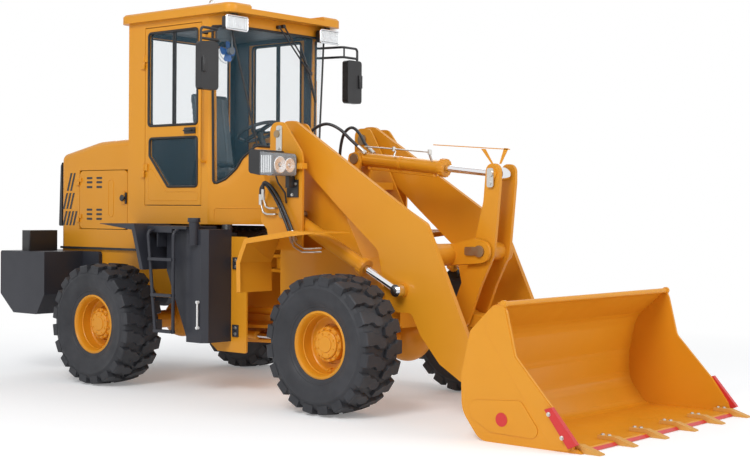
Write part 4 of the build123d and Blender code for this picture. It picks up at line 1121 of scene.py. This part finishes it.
tilt_ends, tilt_ports = bmesh.new(), bmesh.new()
tilt_runs = (
    ("right", [(-0.120, -0.30, 1.70), (-0.110, -0.28, 1.98), (-0.055, -0.24, 2.130), (0.015, -0.21, 2.205),
               (0.115, -0.18, 2.234), (0.215, -0.14, 2.190), (0.300, -0.10, 2.105), (0.385, -0.060, 2.022)]),
    ("left", [(-0.130, 0.26, 1.70), (-0.120, 0.24, 1.98), (-0.060, 0.21, 2.150), (0.030, 0.18, 2.215),
              (0.120, 0.15, 2.215), (0.210, 0.12, 2.160), (0.300, 0.08, 2.080), (0.400, 0.050, 2.014)]))
for side_name, run in tilt_runs:
    hose = bmesh.new()
    add_hose(hose, tilt_ends, tilt_ports, run, 0.013)
    hose = finish_piece(f"tilt_hose_{side_name}", hose, hose_rubber, None, sharp=60)
    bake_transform(hose)
finish_piece("tilt_hose_ends", tilt_ends, zinc, "front_frame", sharp=40)
finish_piece("tilt_ports", tilt_ports, zinc, "tilt_barrel", sharp=40)

# %% [markdown]
# Each cylinder ends in a screwed gland: a notched ring that a hook spanner turns. A steel pipe runs along
# the barrel to the port behind it, held by a clamp. Everything is placed along the cylinder's own line.

# %% Cylinder glands


def add_gland(bm, base, direction, start, radius, depth, notches=16):
    """A notched ring round a cylinder's end, from a distance along its line."""
    ring = [(radius * 0.62, 0.0), (radius, 0.0), (radius * 1.04, 0.006), (radius * 1.04, depth - 0.006),
            (radius, depth), (radius * 0.55, depth), (radius * 0.52, depth - 0.004)]
    add_spun(bm, ring, Vector(base) + Vector(direction) * start, direction, segments=40)
    across = Vector((0, 1, 0))
    up = Vector(direction).cross(across)
    for number in range(notches):
        angle = 2 * pi * number / notches
        spoke = across * cos(angle) + up * sin(angle)
        middle = Vector(base) + Vector(direction) * (start + depth * 0.5) + spoke * radius * 1.02
        turn = Matrix((Vector(direction), spoke, Vector(direction).cross(spoke))).transposed().to_4x4()
        size = Matrix.Diagonal((depth * 0.92, radius * 0.16, radius * 0.20, 1))
        bmesh.ops.create_cube(bm, size=1, matrix=Matrix.Translation(middle) @ turn @ size)


def add_barrel_pipe(bm, base, direction, start, end, radius, up):
    """The pressure pipe on a barrel, its two ports and its clamp."""
    base, direction, up = Vector(base), Vector(direction), Vector(up)
    near = base + direction * start + up * (radius + 0.016)
    far = base + direction * end + up * (radius + 0.016)
    add_tube(bm, arc_path([near - up * 0.02, near, far, far - up * 0.02], 0.012), 0.008, segments=12)
    for place in (base + direction * start, base + direction * end):
        add_rod(bm, place + up * (radius - 0.006), place + up * (radius + 0.022), 0.017, segments=20)
    middle = base + direction * (start + end) / 2
    add_rod(bm, middle - direction * 0.012, middle + direction * 0.012, radius + 0.003, segments=40)


tilt_base, tilt_line = (0.331, 0.0, 1.948), Vector((0.99496, 0, -0.10028))
lift_line = Vector((0.89395, 0, -0.44817))
tilt_length, lift_length = 0.8829, 0.9064
gland_inset, gland_radius, gland_depth = 0.048, 0.0665, 0.052
gland = bmesh.new()
add_gland(gland, tilt_base, tilt_line, tilt_length - gland_inset, gland_radius, gland_depth)
tilt_up = tilt_line.cross(Vector((0, -1, 0)))
add_barrel_pipe(gland, tilt_base, tilt_line, 0.10, tilt_length - 0.11, 0.055, tilt_up)
finish_piece("tilt_gland", gland, yellow_paint, "tilt_barrel", bevel=0.001, sharp=35)
for side_name, side in sides:
    gland = bmesh.new()
    lift_base = (0.073, side * 0.5775, 1.490)
    add_gland(gland, lift_base, lift_line, lift_length - gland_inset, gland_radius, gland_depth)
    finish_piece(f"lift_gland_{side_name}", gland, yellow_paint, f"lift_{side_name}_barrel", bevel=0.001,
                 sharp=35)

# %% [markdown]
# A level indicator tells the driver how the bucket stands: a thin rod slides through a clamp on the tilt
# cylinder, and a flat pointer bar rides on two folded legs on the head of the rocker.

# %% Level indicator
indicator_rod = bmesh.new()
add_rod(indicator_rod, (0.43, -0.070, 2.045), (1.105, -0.070, 1.985), 0.006, segments=12)
add_rod(indicator_rod, (0.735, -0.070, 2.0), (0.735, -0.070, 2.035), 0.014, segments=12)
add_rod(indicator_rod, (0.735, -0.070, 1.955), (0.735, -0.050, 2.0), 0.007, segments=10)
add_rod(indicator_rod, (1.100, -0.050, 1.925), (1.100, -0.070, 1.965), 0.010, segments=12)
add_rod(indicator_rod, (1.100, -0.070, 1.965), (1.100, -0.070, 2.005), 0.016, segments=14)
finish_piece("indicator_rod", indicator_rod, zinc, "tilt_barrel", sharp=50)
pointer = bmesh.new()
add_plate(pointer, [(1.160, 2.036), (1.160, 2.043), (1.867, 1.991), (1.867, 1.984)], 1, -0.105, -0.080)
for top, foot in ((1.635, 1.722), (1.845, 1.792)):
    leg = [(top - 0.018, 1.998), (top + 0.022, 1.995), (foot + 0.010, 1.880), (foot - 0.006, 1.880)]
    add_plate(pointer, leg, 1, -0.105, -0.099)
finish_piece("level_pointer", pointer, yellow_paint, "rocker", bevel=0.0008)

# %% [markdown]
# The bucket's wearing parts are bolted on: teeth under the lip and cutters on the cheeks. Red strips mark
# the lip between the teeth, and a red reflector dot sits on each cheek.

# %% Bucket fittings
lip_marks, tooth_bolts, cheek_marks = bmesh.new(), bmesh.new(), bmesh.new()
tooth_low, tooth_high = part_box("bucket_teeth")
tooth_pitch = (tooth_high.y - tooth_low.y - 0.060) / 5
for number in range(6):
    y = tooth_low.y + 0.030 + number * tooth_pitch
    for x in (3.005, 3.055):
        add_bolt(tooth_bolts, (x, y, 0.052), (0, 0, 1), 0.013)
    if number < 5:
        add_plate(lip_marks, [(3.112, 0.017), (3.139, 0.002), (3.145, 0.005), (3.118, 0.022)], 1, y + 0.036,
                  y + tooth_pitch - 0.036)
for side in (-1, 1):
    spot = Vector((2.531, side * 1.1150, 0.158))
    add_rod(cheek_marks, spot - Vector((0, side * 0.002, 0)), spot + Vector((0, side * 0.010, 0)), 0.046,
            segments=40)
    for x, z in ((2.915, 0.235), (3.015, 0.095)):
        add_bolt(tooth_bolts, (x, side * 1.151, z), (0, side, 0), 0.013)
finish_piece("lip_marks", lip_marks, red_paint, "bucket", bevel=0.001)
finish_piece("cheek_reflectors", cheek_marks, red_paint, "bucket", bevel=0.001)
finish_piece("bucket_bolts", tooth_bolts, zinc, "bucket", sharp=30)

# %% [markdown]
# Small parts on the tanks: a sight gauge with its two banjo bolts, and the brackets that hang the tank on
# the frame.

# %% Tank fittings
gauges, brackets, bracket_heads = (bmesh.new() for _ in range(3))
for side in (-1, 1):
    y = side * 0.900
    add_rod(gauges, (-0.642, y + side * 0.014, 0.565), (-0.642, y + side * 0.014, 0.755), 0.008, segments=14)
    for z in (0.555, 0.765):
        add_rod(gauges, (-0.642, y - side * 0.001, z), (-0.642, y + side * 0.024, z), 0.013, segments=14)
    for z_low, z_high in ((1.03, 1.13), (0.47, 0.57)):
        add_side_block(brackets, side, (-0.548, -0.478), (0.600, 0.613), (z_low, z_high), chamfer=0.004)
        for z in (z_low + 0.025, z_high - 0.025):
            add_bolt(bracket_heads, (-0.508, side * 0.613, z), (0, side, 0), 0.012)
finish_piece("tank_gauges", gauges, white_paint, "rear_frame", sharp=50)
finish_piece("tank_brackets", brackets, black_paint, "rear_frame")
finish_piece("tank_bolts", bracket_heads, zinc, "rear_frame", sharp=30)

# %% [markdown]
# The mirrors are moulded shells on bent tube. Their glass faces the driver, set back in a rim, and a short
# rung ties the two tubes together.

# %% Mirrors
mirror_panes, mirror_rungs = bmesh.new(), bmesh.new()
for side in (-1, 1):
    near, far = side * 0.818, side * 0.972
    shape = rounded([(near, 2.520), (far, 2.520), (far, 2.870), (near, 2.870)], 0.022)
    add_plate(mirror_panes, shape, 0, -0.5985, -0.5945)
    add_rod(mirror_rungs, (-0.566, side * 0.790, 2.915), (-0.566, side * 0.790, 3.005), 0.008, segments=12)
    add_rod(mirror_rungs, (-0.560, side * 0.965, 2.870), (-0.512, side * 0.965, 2.700), 0.010, segments=12)
    add_side_block(mirror_rungs, side, (-0.527, -0.508), (0.945, 0.985), (2.640, 2.760), chamfer=0.006)
finish_piece("mirror_panes", mirror_panes, mirror_glass, "rear_frame", bevel=0.001)
finish_piece("mirror_rungs", mirror_rungs, black_plastic, "rear_frame", sharp=45)

# %% [markdown]
# Rear lamps: a red and an amber lens on each lamp box over the counterweight.

# %% Rear lamps
rear_red, rear_amber = bmesh.new(), bmesh.new()
for side in (-1, 1):
    for bm, y_run in ((rear_red, (0.745, 0.875)), (rear_amber, (0.605, 0.735))):
        add_side_block(bm, side, (-3.080, -3.069), y_run, (1.175, 1.285), chamfer=0.004)
finish_piece("rear_lamps_red", rear_red, red_paint, "rear_frame")
finish_piece("rear_lamps_amber", rear_amber, amber_plastic, "rear_frame")

# %% [markdown]
# The bucket's pressed and welded details: a shaped doubling plate low on each cheek, a stiffening strip
# down its front edge, and the round bar along the top lip that stops the sheet from tearing.

# %% Bucket plates
cheek_plates, lip_bar = bmesh.new(), bmesh.new()
cheek_outline = [(2.264, 0.266), (2.680, 0.295), (2.867, 0.058), (2.435, 0.066), (2.293, 0.143)]
front_doubling = [(2.420, 0.860), (2.465, 0.903), (2.544, 0.903), (2.627, 0.578), (2.926, 0.260),
                  (3.050, 0.088), (3.058, 0.012), (2.933, 0.006), (2.397, 0.730)]
for side in (-1, 1):
    add_side_plate(cheek_plates, rounded(cheek_outline, 0.05), side, 1.1140, 1.1215)
    add_side_plate(cheek_plates, front_doubling, side, 1.1140, 1.1210)
    add_rod(lip_bar, (2.532, side * 1.088, 0.916), (2.532, side * 1.116, 0.916), 0.026, segments=28)
add_rod(lip_bar, (2.532, -1.100, 0.916), (2.532, 1.100, 0.916), 0.019, segments=24)
finish_piece("cheek_plates", cheek_plates, yellow_paint, "bucket", bevel=0.0015)
finish_piece("lip_bar", lip_bar, yellow_paint, "bucket", bevel=0.001, sharp=40)

# %% [markdown]
# Between the cab floor and the frame sit the steering valve and its hoses. Four of the hoses cross the
# hinge to the front frame in loose bows.

# %% Hitch hoses
valve = bmesh.new()
add_block(valve, (-1.560, -0.330, 1.170), (-1.080, 0.330, 1.380), chamfer=0.02)
add_block(valve, (-1.040, -0.240, 1.170), (-0.860, 0.240, 1.340), chamfer=0.012)
for y in (-0.20, -0.12, -0.04, 0.04, 0.12, 0.20):
    add_rod(valve, (-0.880, y, 1.270), (-0.840, y, 1.270), 0.022, segments=20)
    add_rod(valve, (-0.950, y, 1.330), (-0.950, y, 1.362), 0.018, segments=16)
finish_piece("valve_block", valve, black_paint, "rear_frame", sharp=40)
hitch_runs = ((-0.20, -0.30, 1.350), (-0.12, -0.22, 1.372), (0.12, 0.22, 1.372), (0.20, 0.30, 1.350))
for number, (y_start, y_end, height) in enumerate(hitch_runs):
    hose = bmesh.new()
    bow = [(-0.850, y_start, 1.270), (-0.740, y_start, 1.290), (-0.560, y_start, height),
           (-0.360, y_end, height - 0.015), (-0.200, y_end, 1.250), (-0.130, y_end, 1.130)]
    add_tube(hose, smooth_path(bow), 0.0135, segments=14)
    hose = finish_piece(f"hitch_hose_{number + 1}", hose, hose_rubber, None, sharp=60)
    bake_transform(hose)

# %% [markdown]
# The cab skirt has a pressed line along its front corners, and a ring on the roof lifts the cab.

# %% Cab pressings
skirt_lines = bmesh.new()
for side in (-1, 1):
    corner = [on_pane(-0.770, 1.430, side), on_pane(-0.770, 1.538, side), on_pane(-0.140, 1.538, side)]
    add_tube(skirt_lines, arc_path(corner, 0.02), 0.0045, segments=10)
finish_piece("skirt_lines", skirt_lines, yellow_paint, "rear_frame", sharp=60)
lifting_eye = bmesh.new()
ring = [Vector((-0.829 + 0.026 * cos(angle), -0.600, 3.262 + 0.026 * sin(angle))) for angle in
        [2 * pi * k / 24 for k in range(-5, 18)]]
add_tube(lifting_eye, ring, 0.006, segments=12)
add_rod(lifting_eye, (-0.829, -0.600, 3.228), (-0.829, -0.600, 3.240), 0.018, segments=20)
finish_piece("lifting_eye", lifting_eye, zinc, "rear_frame", sharp=50)

# %% [markdown]
# The seat is foam under stretched vinyl. Each cushion starts as a slightly small block with rounded
# corners. A voxel remesh gives it even faces, and a short cloth simulation with air pressure crowns it, just
# as foam pushes out a cover that is sewn to size. Sewn channels are pressed in afterwards. The base under
# it is a sprung box behind a folded bellows.

# %% Seat
vinyl = dark_polymer("seat vinyl", (0.075, 0.090, 0.100), (0.095, 0.110, 0.120), 0.45, 220.0, 0.0006)
vinyl_swell = 0.014
cloth_moments, air_pressure = 20, 4
channel_places, channel_depth, channel_width = (-0.105, 0.105), 0.007, 0.008


def settle(piece):
    """Turn a piece's modifiers into its mesh."""
    solid = bpy.data.meshes.new_from_object(piece.evaluated_get(bpy.context.evaluated_depsgraph_get()))
    piece.modifiers.clear()
    piece.data = solid


def stuffed(name, outline, half_width, radius, facing):
    """A cushion from a side outline: remeshed, blown up a little, and sewn with two channels."""
    bm = bmesh.new()
    add_plate(bm, rounded(outline, radius, 6), 1, -half_width, half_width)
    rim = [edge for edge in bm.edges if abs(edge.verts[0].co.y - edge.verts[1].co.y) < 0.001]
    bmesh.ops.bevel(bm, geom=rim, offset=0.018, segments=3, affect="EDGES")
    cushion = finish_piece(name, bm, vinyl, "rear_frame", sharp=180)
    even = cushion.modifiers.new("even faces", "REMESH")
    even.mode = "VOXEL"
    even.voxel_size = 0.0065
    settle(cushion)
    start = [v.co.copy() for v in cushion.data.vertices]
    cloth = cushion.modifiers.new("cover", "CLOTH")
    cloth.settings.use_pressure = True
    cloth.settings.uniform_pressure_force = air_pressure
    cloth.settings.effector_weights.gravity = 0
    for moment in range(1, cloth_moments + 1):
        scene.frame_set(moment)
    settle(cushion)
    scene.frame_set(1)
    for vertex, place in zip(cushion.data.vertices, start):
        move = vertex.co - place
        vertex.co = place + move.normalized() * min(move.length, vinyl_swell)
    for vertex in cushion.data.vertices:
        if vertex.normal.dot(Vector(facing)) > 0.5:
            for line in channel_places:
                depth = channel_depth * exp(-((vertex.co.y - line) / channel_width) ** 2)
                vertex.co -= Vector(facing) * depth
    finer = cushion.modifiers.new("finer", "SUBSURF")
    finer.levels = 1
    settle(cushion)
    cushion.data.polygons.foreach_set("use_smooth", [True] * len(cushion.data.polygons))
    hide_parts("seat")
    print(name, "faces", len(cushion.data.polygons))


cushion_side = [(-1.465, 1.787), (-1.015, 1.787), (-1.015, 1.872), (-1.060, 1.882), (-1.465, 1.868)]
backrest_side = [(-1.462, 1.900), (-1.378, 1.900), (-1.388, 2.050), (-1.468, 2.575), (-1.545, 2.575)]
stuffed("seat_cushion", cushion_side, 0.225, 0.03, (0, 0, 1))
stuffed("seat_back", backrest_side, 0.213, 0.03, (1, 0, 0))
seat_base = bmesh.new()
add_block(seat_base, (-1.398, -0.178, 1.442), (-1.122, 0.178, 1.520), chamfer=0.008)
for number in range(6):
    low = 1.524 + number * 0.034
    add_block(seat_base, (-1.385, -0.165, low), (-1.135, 0.165, low + 0.030), chamfer=0.012)
add_block(seat_base, (-1.470, -0.215, 1.728), (-1.020, 0.215, 1.772), chamfer=0.010)
for side in (-1, 1):
    bracket = [(-1.480, 1.740), (-1.440, 1.740), (-1.400, 1.960), (-1.440, 1.960)]
    add_side_plate(seat_base, bracket, side, 0.219, 0.227)
seat_base = finish_piece("seat_base", seat_base, black_plastic, "rear_frame", sharp=40)
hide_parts("seat")

# %% [markdown]
# The finished machine's box is measured and printed.

# %% Finish
low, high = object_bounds()
print("visual box", [round(v, 3) for v in low], [round(v, 3) for v in high])
